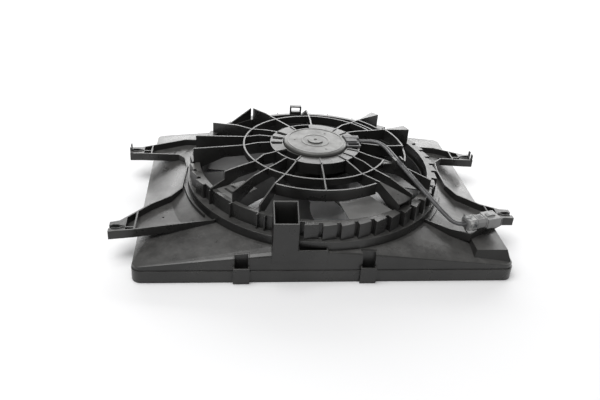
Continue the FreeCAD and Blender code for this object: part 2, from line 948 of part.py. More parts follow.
def spoke(name, inner, outer, width, bottom, height, turn):
    # a straight bar that points away from the axis
    bar = box(name, (
        "(%s) * cos(%s) + (%s) / 2 * sin(%s)" % (inner, turn, width, turn),
        "(%s) * sin(%s) - (%s) / 2 * cos(%s)" % (inner, turn, width, turn),
        bottom,
    ), ("%s - (%s)" % (outer, inner), width, height))
    tie(bar, {"Placement.Rotation.Angle": turn})
    return bar


# The motor: a drawn steel can with three ears, closed by a cap that holds the drive end bearing.

def build_can():
    body = new_body("motor_can")
    ledge = "can_top - can_wall"
    revolve(body, [
        ("0", "can_top + can_boss_height - can_dimple_depth"),
        ("can_dimple_radius", "can_top + can_boss_height - can_dimple_depth"),
        ("can_dimple_radius", "can_top + can_boss_height"),
        ("can_boss_radius", "can_top + can_boss_height"),
        ("can_boss_radius", "can_top"),
        ("can_radius - can_round", "can_top"),
        ("can_radius - can_round / 3", "can_top - can_round / 3"),
        ("can_radius", "can_top - can_round"),
        ("can_radius", "can_bottom"),
        ("can_radius - can_wall", "can_bottom"),
        ("can_radius - can_wall", ledge),
        ("bush_housing", ledge),
        ("bush_housing", ledge + " - bush_height"),
        ("bush_radius", ledge + " - bush_height"),
        ("bush_radius", ledge),
        ("0", ledge),
    ])
    ear = outline(body, "can_ear_outline", "XY_Plane", [
        ("can_radius - can_wall", "-ear_width / 2"),
        ("boss_circle + boss_radius", "-ear_width / 2"),
        ("boss_circle + boss_radius + ear_thickness", "0"),
        ("boss_circle + boss_radius", "ear_width / 2"),
        ("can_radius - can_wall", "ear_width / 2"),
    ], "boss_bottom - ear_thickness")
    tie(ear, {"AttachmentOffset.Rotation.Angle": "boss_phase"})
    raised = pad(body, "can_ear", ear, "ear_thickness")
    around(body, raised, "boss_count")
    hole = circle(body, "can_ear_hole_outline", "XY_Plane", "screw_radius + screw_clearance", "boss_bottom",
                  "boss_circle")
    tie(hole, {"AttachmentOffset.Rotation.Angle": "boss_phase"})
    drilled = pocket(body, "can_ear_hole", hole, "2 * ear_thickness")
    around(body, drilled, "boss_count")
    return body


def build_motor_inside():
    inside = "can_radius - can_wall"
    magnet_inner = inside + " - magnet_thickness"
    core = magnet_inner + " - air_gap"
    magnets = []
    for number, turn in enumerate(("(90 - magnet_arc / 2)", "(270 - magnet_arc / 2)")):
        outer = cylinder("magnet_outer_%d" % number, inside, "magnet_bottom", "magnet_height")
        inner = cylinder("magnet_inner_%d" % number, magnet_inner, "magnet_bottom", "magnet_height")
        tie(outer, {"Angle": "magnet_arc", "Placement.Rotation.Angle": turn})
        magnets.append(cut("magnet_%d" % number, outer, inner))
    fuse("motor_magnets", magnets)

    cap = new_body("motor_end_cap")
    cap_low = "can_bottom - cap_thickness"
    revolve(cap, [
        ("bearing_radius", "can_bottom"),
        ("can_radius", "can_bottom"),
        ("can_radius", cap_low),
        ("cap_boss_radius", cap_low),
        ("cap_boss_radius", cap_low + " - cap_boss_depth"),
        ("bearing_radius - bearing_race", cap_low + " - cap_boss_depth"),
        ("bearing_radius - bearing_race", "can_bottom - bearing_height"),
        ("bearing_radius", "can_bottom - bearing_height"),
    ])

    bearing = new_body("drive_end_bearing")
    bore = "shaft_radius + shaft_clearance"
    revolve(bearing, [
        (bore, "can_bottom"),
        (bore + " + bearing_race", "can_bottom"),
        (bore + " + bearing_race", "can_bottom - bearing_race / 4"),
        ("bearing_radius - bearing_race", "can_bottom - bearing_race / 4"),
        ("bearing_radius - bearing_race", "can_bottom"),
        ("bearing_radius", "can_bottom"),
        ("bearing_radius", "can_bottom - bearing_height"),
        (bore, "can_bottom - bearing_height"),
    ])

    washer("rear_bush", "bush_radius", bore, "can_top - can_wall - bush_height", "bush_height")

    laminations = new_body("armature_core")
    disc = circle(laminations, "core_outline", "XY_Plane", core, "core_bottom")
    pad(laminations, "core_disc", disc, "core_height")
    core_top = "core_bottom + core_height"
    bore_hole = circle(laminations, "core_bore_outline", "XY_Plane", "shaft_radius", core_top)
    pocket(laminations, "core_bore", bore_hole, "core_height")
    slot = outline(laminations, "core_slot_outline", "XY_Plane", [
        (core + " - slot_depth", "-slot_width / 2"),
        (core + " + slot_width", "-slot_width / 2"),
        (core + " + slot_width", "slot_width / 2"),
        (core + " - slot_depth", "slot_width / 2"),
    ], core_top)
    around(laminations, pocket(laminations, "core_slot", slot, "core_height"), "slot_count")

    coil_outer = core + " - winding_margin"
    coils = []
    for name, low in (("end_turns_low", "core_bottom - winding_height"), ("end_turns_high", core_top)):
        coils.append(washer(name, coil_outer, "winding_inner", low, "winding_height"))
    for number in range(int(size("slot_count"))):
        coils.append(spoke("slot_coil_%d" % number, core + " - slot_depth", coil_outer, "slot_width",
                           "core_bottom", "core_height", "(%d * 360 / slot_count)" % number))
    fuse("armature_windings", coils)

    drum = new_body("commutator")
    disc = circle(drum, "drum_outline", "XY_Plane", "commutator_radius", "commutator_bottom")
    pad(drum, "drum_disc", disc, "commutator_height")
    bore_hole = circle(drum, "drum_bore_outline", "XY_Plane", "shaft_radius",
                       "commutator_bottom + commutator_height")
    pocket(drum, "drum_bore", bore_hole, "commutator_height")
    cleft = outline(drum, "drum_cleft_outline", "XY_Plane", [
        ("commutator_radius - slot_width / 2", "-slot_width / 8"),
        ("commutator_radius + slot_width / 2", "-slot_width / 8"),
        ("commutator_radius + slot_width / 2", "slot_width / 8"),
        ("commutator_radius - slot_width / 2", "slot_width / 8"),
    ], "commutator_bottom + commutator_height")
    around(drum, pocket(drum, "drum_cleft", cleft, "commutator_height"), "slot_count")

    shaft = new_body("motor_shaft")
    bevel = "shaft_radius / 5"
    shaft_top = "can_top - can_wall - shaft_end_gap"
    revolve(shaft, [
        ("0", "shaft_bottom"),
        ("shaft_radius - " + bevel, "shaft_bottom"),
        ("shaft_radius", "shaft_bottom + " + bevel),
        ("shaft_radius", shaft_top + " - " + bevel),
        ("shaft_radius - " + bevel, shaft_top),
        ("0", shaft_top),
    ])


def build_brushes():
    # two brushes in holders that stand on the brush card, each pushed inwards by a spring
    plate = washer("card_plate", "card_outer", "card_inner", "can_bottom", "card_thickness")
    floor = "can_bottom + card_thickness"
    middle = "commutator_bottom + commutator_height / 2"
    low = middle + " - brush_height / 2"
    tip = "commutator_radius + brush_gap"
    back = tip + " + brush_length"
    shells = []
    brushes = []
    springs = []
    for number, turn in enumerate(("0", "180")):
        frame = spoke("holder_%d" % number, "card_inner", back + " + spring_length + holder_wall",
                      "brush_width + 2 * holder_wall", floor,
                      "%s + brush_height + holder_wall - (%s)" % (low, floor), turn)
        space = spoke("holder_space_%d" % number, "card_inner / 2", back + " + spring_length",
                      "brush_width", low, "brush_height", turn)
        shells.append(cut("holder_shell_%d" % number, frame, space))
        brushes.append(spoke("brush_%d" % number, tip, back, "brush_width", low, "brush_height", turn))
        springs.append(brush_spring(float(turn)))
    fuse("brush_card", [plate] + shells)
    fuse("brushes", brushes)
    formed("brush_springs", Part.makeCompound(springs))


def brush_spring(turn):
    # a close coil, turned about its own axis as a row of rounds
    radius = size("spring_radius")
    length = size("spring_length")
    coils = int(size("spring_coils"))
    valley = radius - size("spring_wire")
    start = size("commutator_radius") + size("brush_gap") + size("brush_length")
    points = [Vector(0, 0, 0)]
    for number in range(coils):
        points.append(Vector(length * number / coils, 0, valley))
        points.append(Vector(length * (number + 0.5) / coils, 0, radius))
    points.append(Vector(length, 0, valley))
    points.append(Vector(length, 0, 0))
    spring = polygon_face(points).revolve(Vector(0, 0, 0), Vector(1, 0, 0), 360)
    spring.translate(Vector(start, 0, size("commutator_bottom") + size("commutator_height") / 2))
    spring.rotate(Vector(0, 0, 0), Vector(0, 0, 1), turn)
    return spring


def build_screws():
    screws = []
    for number in range(int(size("boss_count"))):
        x, y = boss_place(number)
        seat = "boss_bottom - ear_thickness"
        head = cylinder("screw_head_%d" % number, "screw_head_radius", seat + " - screw_head_height",
                        "screw_head_height", x, y)
        shank = cylinder("screw_shank_%d" % number, "screw_radius", seat,
                         "ear_thickness + screw_depth - screw_clearance", x, y)
        screws.append(fuse("screw_%d" % number, [head, shank]))
    fuse("motor_screws", screws)


# The fan: a cup round the motor, seven broad blades and an outer band, on a metal insert.

def build_fan_hub():
    body = new_body("fan_hub")
    floor = "hub_bottom + hub_floor"
    revolve(body, [
        ("insert_radius", "hub_bottom"),
        ("hub_radius - hub_floor", "hub_bottom"),
        ("hub_radius", "hub_bottom + hub_floor"),
        ("hub_radius", "hub_bottom + hub_height"),
        ("hub_radius - hub_wall", "hub_bottom + hub_height"),
        ("hub_radius - hub_wall", floor),
        ("hub_boss_radius", floor),
        ("hub_boss_radius", "hub_bottom + hub_boss_height"),
        ("insert_radius", "hub_bottom + hub_boss_height"),
    ])
    web = outline(body, "hub_web_outline", "XY_Plane", [
        ("insert_radius + hub_wall", "-hub_rib_width / 2"),
        ("hub_radius - hub_wall / 2", "-hub_rib_width / 2"),
        ("hub_radius - hub_wall / 2", "hub_rib_width / 2"),
        ("insert_radius + hub_wall", "hub_rib_width / 2"),
    ], floor)
    around(body, pad(body, "hub_web", web, "hub_rib_height - hub_floor"), "blade_count")
    return body


def build_fan_fittings():
    insert = new_body("hub_insert")
    revolve(insert, [
        ("shaft_radius", "hub_bottom - insert_flange_height"),
        ("insert_flange", "hub_bottom - insert_flange_height"),
        ("insert_flange", "hub_bottom"),
        ("insert_radius", "hub_bottom"),
        ("insert_radius", "hub_bottom + hub_boss_height"),
        ("shaft_radius", "hub_bottom + hub_boss_height"),
    ])
    seat = "hub_bottom - insert_flange_height - washer_height"
    washer("shaft_washer", "washer_radius", "shaft_radius", seat, "washer_height")
    hexagon = doc.addObject("Part::Prism", "nut_hexagon")
    hexagon.Polygon = 6
    tie(hexagon, {
        "Circumradius": "nut_width / 2 / cos(30)",
        "Height": "nut_height",
        "Placement.Base.z": seat + " - nut_height",
    })
    hole = cylinder("nut_hole", "shaft_radius", seat + " - nut_height", "nut_height")
    cut("shaft_nut", hexagon, hole)
    band = new_body("fan_band")
    outer = "bore_radius - band_clearance"
    revolve(band, [
        (outer + " - band_wall", "band_bottom"),
        (outer + " + band_lip", "band_bottom"),
        (outer + " + band_lip", "band_bottom + band_wall"),
        (outer, "band_bottom + band_wall"),
        (outer, "band_bottom + band_height"),
        (outer + " - band_wall", "band_bottom + band_height"),
    ])


def blade_section(reach, chord, rise, sweep):
    # one closed section of a blade, square to the radius at this reach
    camber = size("blade_camber") * chord / size("tip_chord")
    thick = size("blade_thickness")
    edge = size("blade_edge")
    middle = size("blade_middle")
    along = Vector(chord / 2, 0, -rise / 2)
    lift = Vector(rise, 0, chord).normalize()
    rear, front = along * -1, along
    corners = [
        rear + lift * (edge / 2),
        lift * (camber + thick / 2),
        front + lift * (edge / 2),
        front - lift * (edge / 2),
        lift * (camber - thick / 2),
        rear - lift * (edge / 2),
    ]
    turned = []
    for point in corners:
        place = Vector(point.x, -reach, middle + point.z)
        turned.append(Rotation(Vector(0, 0, 1), 90 + sweep).multVec(place))
    return Part.Wire([
        Part.Arc(turned[0], turned[1], turned[2]).toShape(),
        Part.LineSegment(turned[2], turned[3]).toShape(),
        Part.Arc(turned[3], turned[4], turned[5]).toShape(),
        Part.LineSegment(turned[5], turned[0]).toShape(),
    ])


def build_blades():
    hub = size("hub_radius")
    tip = size("bore_radius") - size("band_clearance") - size("band_wall")
    span = tip - hub
    overlap = size("blade_overlap")
    wires = []
    for name, reach in (
        ("root", hub - overlap),
        ("middle", hub + span / 3),
        ("outer", hub + span * 2 / 3),
        ("tip", tip + overlap / 4),
    ):
        chord, rise, sweep = (size(name + what) for what in ("_chord", "_rise", "_sweep"))
        wires.append(blade_section(reach, chord, rise, sweep))
    height = 2 * size("barrel_top")
    ring = Part.makeCylinder(tip, height).cut(Part.makeCylinder(hub, height))
    blade = Part.makeLoft(wires, True, False).common(ring)
    blades = []
    count = int(size("blade_count"))
    for number in range(count):
        copy = blade.copy()
        copy.rotate(Vector(0, 0, 0), Vector(0, 0, 1), size("blade_phase") + number * 360 / count)
        blades.append(copy)
    formed("fan_blades", Part.makeCompound(blades))


# The arms: open channels that reach past the hood, each ending in a slot for a bush or a stud.

def build_arm(name):
    plan = ARMS[name]
    points = [Vector(x, y) for x, y in plan["front"] + plan["rear"][::-1]]
    side = 1 if plan["front"][0][0] > 0 else -1
    tip = plan["front"][0][0]
    low = size("arm_bottom")
    top = size("arm_top")
    wall = size("arm_wall")
    floor = low + size("arm_floor")
    line = plan["slot"]
    over = 2 * top
    block = prism(points, low, top)
    room = polygon_face([Vector(point.x, point.y, floor) for point in points])
    room = Part.Face(room.OuterWire.makeOffset2D(-wall)).extrude(Vector(0, 0, top))
    inward = tip - side * size("arm_tip_length")
    cross = tip - side * size("arm_cross_place")
    rib = size("arm_rib_width")
    keep = [
        across(tip, inward, line - top, line + top, low, top),
        across(cross, cross - side * rib, line - top, line + top, low, top),
        across(inward, cross, line - rib / 2, line + rib / 2, low, top),
    ]
    room = room.cut(Part.makeCompound(keep))
    half = size("arm_slot_width") / 2
    end = tip - side * (size("arm_slot_depth") - half)
    slot = across(tip + side, end, line - half, line + half, low - 1, over)
    slot = slot.fuse(Part.makeCylinder(half, over, Vector(end, line, low - 1)))
    drain = Part.makeCylinder(size("arm_drain_radius"), over, Vector(plan["drain"][0], plan["drain"][1], 0))
    if "rear" in name:
        edge = half + size("nib_overhang")
        back = tip - side * size("nib_length")
        nib = across(tip, back, line - edge, line + edge, low, top + size("nib_height"))
        block = block.fuse(nib)
    arm = block.cut([room, slot, drain])
    barrel = Part.makeCylinder(lip_radius(), over)
    return formed(name, arm.cut([barrel, hood_volume(0, 0), pad_volume(0)]).removeSplitter())


def across(start, end, front, back, low, top):
    return plan_box(min(start, end), max(start, end), front, back, low, top)


# Small mouldings on the rim and the edge of the shroud.

def build_rear_clip():
    bottom = "barrel_top"
    width = "rear_clip_left - rear_clip_right"
    block = box("rear_clip_block", ("-rear_clip_left", "bore_radius", bottom),
                (width, "rear_clip_depth", "rear_clip_height"))
    gap = box("rear_clip_gap", ("-rear_clip_left + rear_clip_wall", "bore_radius - rear_clip_wall",
                                bottom + " + 2 * rear_clip_wall"),
              (width + " - 2 * rear_clip_wall", "rear_clip_depth + 2 * rear_clip_wall",
               "rear_clip_height - 3 * rear_clip_wall"))
    cut("rear_clip_box", block, gap)


def build_edge_clips():
    wall = size("edge_clip_wall")
    for name in ("edge_clip_left", "edge_clip_right"):
        corners = edge_clip_block(size(name))
        front, back = corners[0].y, corners[2].y
        left, right = corners[0].x, corners[1].x
        low = across(left, right, front, back, 0, size("flange_height"))
        cheeks = hood_volume(0, 0).common(across(left, right, front, back, 0, size("edge_clip_back")))
        hole = across(left + wall, right - wall, front + wall, back - wall, -1, size("hood_top"))
        block = low.fuse(cheeks).cut(hole)
        formed(name, block.removeSplitter())


# The lead: two insulated wires side by side, on straight runs joined by arcs.

def lead_path(offset):
    points = []
    for number, place in enumerate(LEAD_ROUTE):
        before = Vector(*LEAD_ROUTE[max(number - 1, 0)])
        after = Vector(*LEAD_ROUTE[min(number + 1, len(LEAD_ROUTE) - 1)])
        along = after - before
        side = Vector(-along.y, along.x, 0).normalize()
        points.append(Vector(*place) + side * offset)
    edges = []
    radii = []
    previous = points[0]
    for number in range(1, len(points) - 1):
        corner = points[number]
        back = points[number - 1] - corner
        ahead = points[number + 1] - corner
        reach = ARC_SHARE * min(back.Length, ahead.Length)
        first = corner + Vector(back).normalize() * reach
        last = corner + Vector(ahead).normalize() * reach
        turn = math.pi - back.getAngle(ahead)
        radius = reach / math.tan(turn / 2)
        radii.append(radius)
        bisector = (Vector(back).normalize() + Vector(ahead).normalize()).normalize()
        centre = corner + bisector * (radius / math.cos(turn / 2))
        middle = centre - bisector * radius
        edges.append(Part.LineSegment(previous, first).toShape())
        edges.append(Part.Arc(first, middle, last).toShape())
        previous = last
    edges.append(Part.LineSegment(previous, points[-1]).toShape())
    return Part.Wire(edges), radii


def lead_tube(path, radius):
    # true cylinders on the straight runs and parts of a ring on the arcs
    pieces = []
    for edge in path.Edges:
        start = edge.valueAt(edge.FirstParameter)
        along = edge.tangentAt(edge.FirstParameter)
        if edge.Curve.TypeId == "Part::GeomLine":
            pieces.append(Part.makeCylinder(radius, edge.Length, start, along))
            continue
        face = Part.Face(Part.Wire(Part.Circle(start, along, radius).toShape()))
        centre = edge.Curve.Center
        turn = math.degrees(edge.Length / edge.Curve.Radius)
        axis = (start - centre).cross(along)
        pieces.append(face.revolve(centre, axis, turn))
    return pieces[0].fuse(pieces[1:]).removeSplitter()


def build_lead():
    wires = []
    radius = size("lead_radius")
    ends = Part.makeCompound([doc.lead_grommet.Shape, doc.connector_seal.Shape])
    for way in (-1, 1):
        path, radii = lead_path(way * size("lead_spacing") / 2)
        tube = lead_tube(path, radius)
        print("lead radii", [round(number) for number in radii], "length", round(path.Length, 1),
              "volume ratio", round(tube.Volume / (math.pi * radius ** 2 * path.Length), 4))
        wires.append(tube.cut(ends))
    formed("motor_lead", Part.makeCompound(wires))


def build_grommet():
    # a raised bar beside the lead and a low open ledge under it, with a block that holds the wires
    _, line, level = LEAD_ROUTE[0]
    end = LEAD_ROUTE[0][0]
    low = size("mount_top")
    start = size("can_radius") / 2
    half = size("lead_spacing") / 2 + size("lead_radius")
    bar_front = line + half + size("lead_gap")
    bar_back = bar_front + size("grommet_width")
    bevel = size("grommet_height") / 4
    top = low + size("grommet_height")
    profile = [(bar_front, low), (bar_back, low), (bar_back, top - bevel), (bar_back - bevel, top)]
    profile += [(bar_front + bevel, top), (bar_front, top - bevel)]
    bar = polygon_face([Vector(start, y, z) for y, z in profile]).extrude(Vector(end - start, 0, 0))
    ledge_top = low + size("ledge_height")
    wall = size("ledge_wall")
    ledge_front = line - half - size("ledge_width")
    ledge = plan_box(start, end, ledge_front, bar_front, low, ledge_top)
    well_start = size("can_radius") + wall
    well = plan_box(well_start, end - wall, ledge_front + wall, line - half - wall, low - 1, top)
    cover = size("lead_cover")
    block_top = level + size("lead_radius") + cover
    block = plan_box(start, end - 2 * wall, line - half - cover, bar_front, low, block_top)
    solid = bar.fuse([ledge, block]).cut(well)
    can = Part.makeCylinder(size("can_radius"), 2 * top)
    formed("lead_grommet", solid.cut(can).removeSplitter())


def build_saddle():
    # a saddle that sits astride the right hand rib, with two posts that hold the lead between them
    run = LEAD_ROUTE.index(SADDLE_START)
    before, after = Vector(*LEAD_ROUTE[run]), Vector(*LEAD_ROUTE[run + 1])
    middle = (before + after) * 0.5
    heading = math.degrees(math.atan2(after.y - before.y, after.x - before.x)) + 90
    half = size("lead_spacing") / 2 + size("lead_radius") + size("saddle_play")
    post = size("saddle_post")
    length = size("saddle_length")
    seat = size("rib_top_inner") + size("saddle_floor")
    low = size("rib_top_outer") - size("saddle_grip")
    width = 2 * (half + post)
    block = Part.makeBox(width, length, seat - low, Vector(-width / 2, -length / 2, low))
    for start in (-half - post, half):
        block = block.fuse(Part.makeBox(post, length, size("saddle_height"), Vector(start, -length / 2, seat)))
    block = block.removeSplitter()
    block.rotate(Vector(0, 0, 0), Vector(0, 0, 1), heading)
    block.translate(Vector(middle.x, middle.y, 0))
    rib = rib_band("right").common(guard_envelope("right"))
    formed("lead_saddle", block.cut(rib))


# The connector at the end of the lead, on a bracket on the front right arm.

def placed_body(name):
    body = new_body(name)
    tie(body, {
        "Placement.Base.x": "connector_x",
        "Placement.Base.y": "connector_y",
        "Placement.Base.z": "connector_bottom",
        "Placement.Rotation.Angle": "connector_yaw",
    })
    return body


def build_connector():
    body = placed_body("connector_body")
    tall = "connector_height"
    for part, width, start, length, bevel in (
        ("barrel", "barrel_width", "0", "barrel_length", "connector_height / 4"),
        ("block", "block_width", "barrel_length", "block_length", "block_wall / 2"),
    ):
        half = width + " / 2"
        sketch = outline(body, "connector_" + part + "_outline", "YZ_Plane", [
            ("-(%s - %s)" % (half, bevel), "0"),
            ("%s - %s" % (half, bevel), "0"),
            (half, bevel),
            (half, "%s - %s" % (tall, bevel)),
            ("%s - %s" % (half, bevel), tall),
            ("-(%s - %s)" % (half, bevel), tall),
            ("-(%s)" % half, "%s - %s" % (tall, bevel)),
            ("-(%s)" % half, bevel),
        ], start if start != "0" else None)
        pad(body, "connector_" + part, sketch, length)
    inside = "block_width / 2 - block_wall"
    mouth = outline(body, "connector_mouth_outline", "YZ_Plane", [
        ("-(%s)" % inside, "block_wall"),
        (inside, "block_wall"),
        (inside, "connector_height - block_wall"),
        ("-(%s)" % inside, "connector_height - block_wall"),
    ], "barrel_length + block_length")
    pocket(body, "connector_mouth", mouth, "block_cavity")
    seat = outline(body, "connector_seal_seat_outline", "YZ_Plane", seal_corners())
    pocket(body, "connector_seal_seat", seat, "seal_length", True)
    window = outline(body, "connector_window_outline", "XY_Plane", [
        ("barrel_length + block_length / 2", "-latch_window / 2"),
        ("barrel_length + block_length / 2 + latch_window", "-latch_window / 2"),
        ("barrel_length + block_length / 2 + latch_window", "latch_window / 2"),
        ("barrel_length + block_length / 2", "latch_window / 2"),
    ], tall)
    pocket(body, "connector_window", window, "2 * block_wall")

    seal = placed_body("connector_seal")
    pad(seal, "seal_block", outline(seal, "seal_outline", "YZ_Plane", seal_corners()), "seal_length")

    root = "barrel_length + block_length - block_cavity"
    for number, side in enumerate(("-", "")):
        blade = placed_body("terminal_%d" % number)
        place = side + "block_width / 4"
        sketch = outline(blade, "terminal_outline_%d" % number, "YZ_Plane", [
            (place + " - terminal_width / 2", "connector_height / 2 - terminal_thickness / 2"),
            (place + " + terminal_width / 2", "connector_height / 2 - terminal_thickness / 2"),
            (place + " + terminal_width / 2", "connector_height / 2 + terminal_thickness / 2"),
            (place + " - terminal_width / 2", "connector_height / 2 + terminal_thickness / 2"),
        ], root)
        pad(blade, "terminal_blade_%d" % number, sketch, "terminal_length")
    fuse("connector_terminals", [doc.getObject("terminal_0"), doc.getObject("terminal_1")])

    bracket = placed_body("connector_bracket")
    plate = outline(bracket, "bracket_outline", "XY_Plane", [
        ("barrel_length / 3", "-bracket_width / 2"),
        ("barrel_length / 3 + bracket_length", "-bracket_width / 2"),
        ("barrel_length / 3 + bracket_length", "bracket_width / 2"),
        ("barrel_length / 3", "bracket_width / 2"),
    ], "arm_top - connector_bottom")
    pad(bracket, "bracket_plate", plate, "connector_bottom - arm_top")


def seal_corners():
    half = "lead_spacing / 2 + seal_radius"
    middle = "connector_height / 2"
    return [
        ("-(%s)" % half, middle + " - seal_radius"),
        (half, middle + " - seal_radius"),
        (half, middle + " + seal_radius"),
        ("-(%s)" % half, middle + " + seal_radius"),
    ]


# The nodes, one file each.
NODES = [
    "shroud_hood", "fan_barrel", "guard_ribs", "guard_ring_inner", "guard_ring_outer", "cover_plate_left",
    "cover_plate_right", "motor_mount_ring",
    "arm_front_left", "arm_rear_left", "arm_front_right", "arm_rear_right", "front_socket", "rear_clip_box",
    "edge_clip_left", "edge_clip_right", "motor_can", "motor_end_cap", "motor_magnets", "motor_screws",
    "drive_end_bearing", "rear_bush", "brush_card", "brushes", "brush_springs", "lead_grommet",
    "motor_lead", "lead_saddle", "connector_body", "connector_seal", "connector_terminals",
    "connector_bracket",
    "fan_hub", "fan_blades", "fan_band", "hub_insert", "shaft_washer", "shaft_nut",
    "motor_shaft", "armature_core", "armature_windings", "commutator",
]


def check_objects():
    for piece in doc.Objects:
        if "Invalid" in piece.State or "Error" in piece.State:
            raise ValueError("%s did not recompute: %s" % (piece.Name, piece.State))
    for name in NODES:
        shape = doc.getObject(name).Shape
        if shape.isNull() or not shape.isValid() or not shape.Solids:
            raise ValueError("%s has no sound shape" % name)


def write_parts():
    os.makedirs("parts", exist_ok=True)
    for name in NODES:
        piece = doc.getObject(name)
        piece.Label = name
        piece.Shape.exportStep("parts/%s.step" % name)


write_sheet()
build_hood()
build_barrel()
build_front_socket()
build_rear_clip()
build_edge_clips()
build_guard()
build_mounting_ring()
for arm in ARMS:
    build_arm(arm)
build_can()
build_motor_inside()
build_brushes()
build_screws()
build_grommet()
build_saddle()
build_connector()
doc.recompute()
build_lead()
build_fan_hub()
build_fan_fittings()
build_blades()
doc.recompute()
check_objects()
write_parts()
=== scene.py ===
import math

import bmesh
import bpy
from mathutils import Matrix, Vector


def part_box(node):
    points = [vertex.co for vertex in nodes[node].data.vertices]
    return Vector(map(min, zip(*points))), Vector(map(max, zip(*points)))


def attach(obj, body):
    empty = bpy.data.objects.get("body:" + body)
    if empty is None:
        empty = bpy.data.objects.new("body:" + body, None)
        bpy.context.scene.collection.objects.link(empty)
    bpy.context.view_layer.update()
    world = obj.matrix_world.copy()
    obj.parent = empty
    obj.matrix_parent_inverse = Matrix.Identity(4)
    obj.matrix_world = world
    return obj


# Radiator cooling fan assembly: moulded shroud, guard, motor, fan, lead and connector.
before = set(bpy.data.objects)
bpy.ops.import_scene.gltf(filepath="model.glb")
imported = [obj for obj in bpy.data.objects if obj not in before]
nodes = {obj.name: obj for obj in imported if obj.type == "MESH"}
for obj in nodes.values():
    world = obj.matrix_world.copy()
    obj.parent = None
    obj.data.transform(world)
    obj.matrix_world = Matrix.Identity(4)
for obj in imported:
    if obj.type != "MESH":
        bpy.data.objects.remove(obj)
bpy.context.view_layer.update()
scene = bpy.context.scene
print("frame loaded:", len(nodes), "nodes")


# Camera and light

view = {
    "place": (-0.1598, -1.0724, 0.648),  # metres
    "lookDown": 30.52,  # degrees below the horizon
    "lookAside": -7.42,  # degrees, below zero looks to the right
    "roll": 4.12,
    "lens": 39.48,
    "sensor": 36,
}


def makeCamera():
    data = bpy.data.cameras.new("viewCamera")
    data.lens = view["lens"]
    data.sensor_width = view["sensor"]
    camera = bpy.data.objects.new("viewCamera", data)
    scene.collection.objects.link(camera)
    aside = Matrix.Rotation(math.radians(view["lookAside"]), 4, "Z")
    down = Matrix.Rotation(math.radians(90 - view["lookDown"]), 4, "X")
    roll = Matrix.Rotation(math.radians(view["roll"]), 4, "Z")
    camera.matrix_world = Matrix.Translation(Vector(view["place"])) @ aside @ down @ roll
    scene.camera = camera


light = {
    "fillColour": (1.0, 1.0, 1.0),
    "fillStrength": 0.34,
    "backdropStrength": 1.0,
    "overhead": {"place": (-0.6, -0.4, 2.4), "size": (1.8, 1.8), "power": 46},
    "behind": {"place": (0.5, 2.4, 0.95), "size": (6.0, 1.5), "power": 112},
    "target": (0, 0, 0.08),  # the point that both lamps face
}


def areaLamp(name, spec):
    data = bpy.data.lights.new(name, "AREA")
    data.shape = "RECTANGLE"
    data.size, data.size_y = spec["size"]
    data.energy = spec["power"]
    lamp = bpy.data.objects.new(name, data)
    lamp.location = spec["place"]
    aim = Vector(light["target"]) - Vector(spec["place"])
    lamp.rotation_euler = aim.to_track_quat("-Z", "Y").to_euler()
    scene.collection.objects.link(lamp)


def makeLight():
    # a dim fill from all round, a pale backdrop that only the camera sees, and two lamps
    world = bpy.data.worlds.new("studio")
    scene.world = world
    world.use_nodes = True
    tree = world.node_tree
    tree.nodes.clear()
    out = tree.nodes.new("ShaderNodeOutputWorld")
    fill = tree.nodes.new("ShaderNodeBackground")
    fill.inputs["Color"].default_value = (*light["fillColour"], 1)
    fill.inputs["Strength"].default_value = light["fillStrength"]
    backdrop = tree.nodes.new("ShaderNodeBackground")
    backdrop.inputs["Strength"].default_value = light["backdropStrength"]
    path = tree.nodes.new("ShaderNodeLightPath")
    mix = tree.nodes.new("ShaderNodeMixShader")
    tree.links.new(path.outputs["Is Camera Ray"], mix.inputs[0])
    tree.links.new(fill.outputs[0], mix.inputs[1])
    tree.links.new(backdrop.outputs[0], mix.inputs[2])
    tree.links.new(mix.outputs[0], out.inputs[0])
    areaLamp("overheadLamp", light["overhead"])
    areaLamp("behindLamp", light["behind"])


ground = {
    "size": 14,
    "level": -0.0005,  # just under the shroud's foot
    "colour": (0.9, 0.9, 0.905),
    "rough": 0.9,
}


def makeFloor():
    bpy.ops.mesh.primitive_plane_add(size=ground["size"])
    floor = bpy.context.object
    floor.name = "studioFloor"
    floor.location.z = ground["level"]
    material = bpy.data.materials.new("floorWhite")
    material.use_nodes = True
    shader = material.node_tree.nodes["Principled BSDF"]
    shader.inputs["Base Color"].default_value = (*ground["colour"], 1)
    shader.inputs["Roughness"].default_value = ground["rough"]
    floor.data.materials.append(material)


# Materials, all made of noise in the object's own coordinates

noiseRough = 0.55  # how much of the finer noise shows
glossRange = (0.3, 0.7)  # the part of the noise that changes the roughness


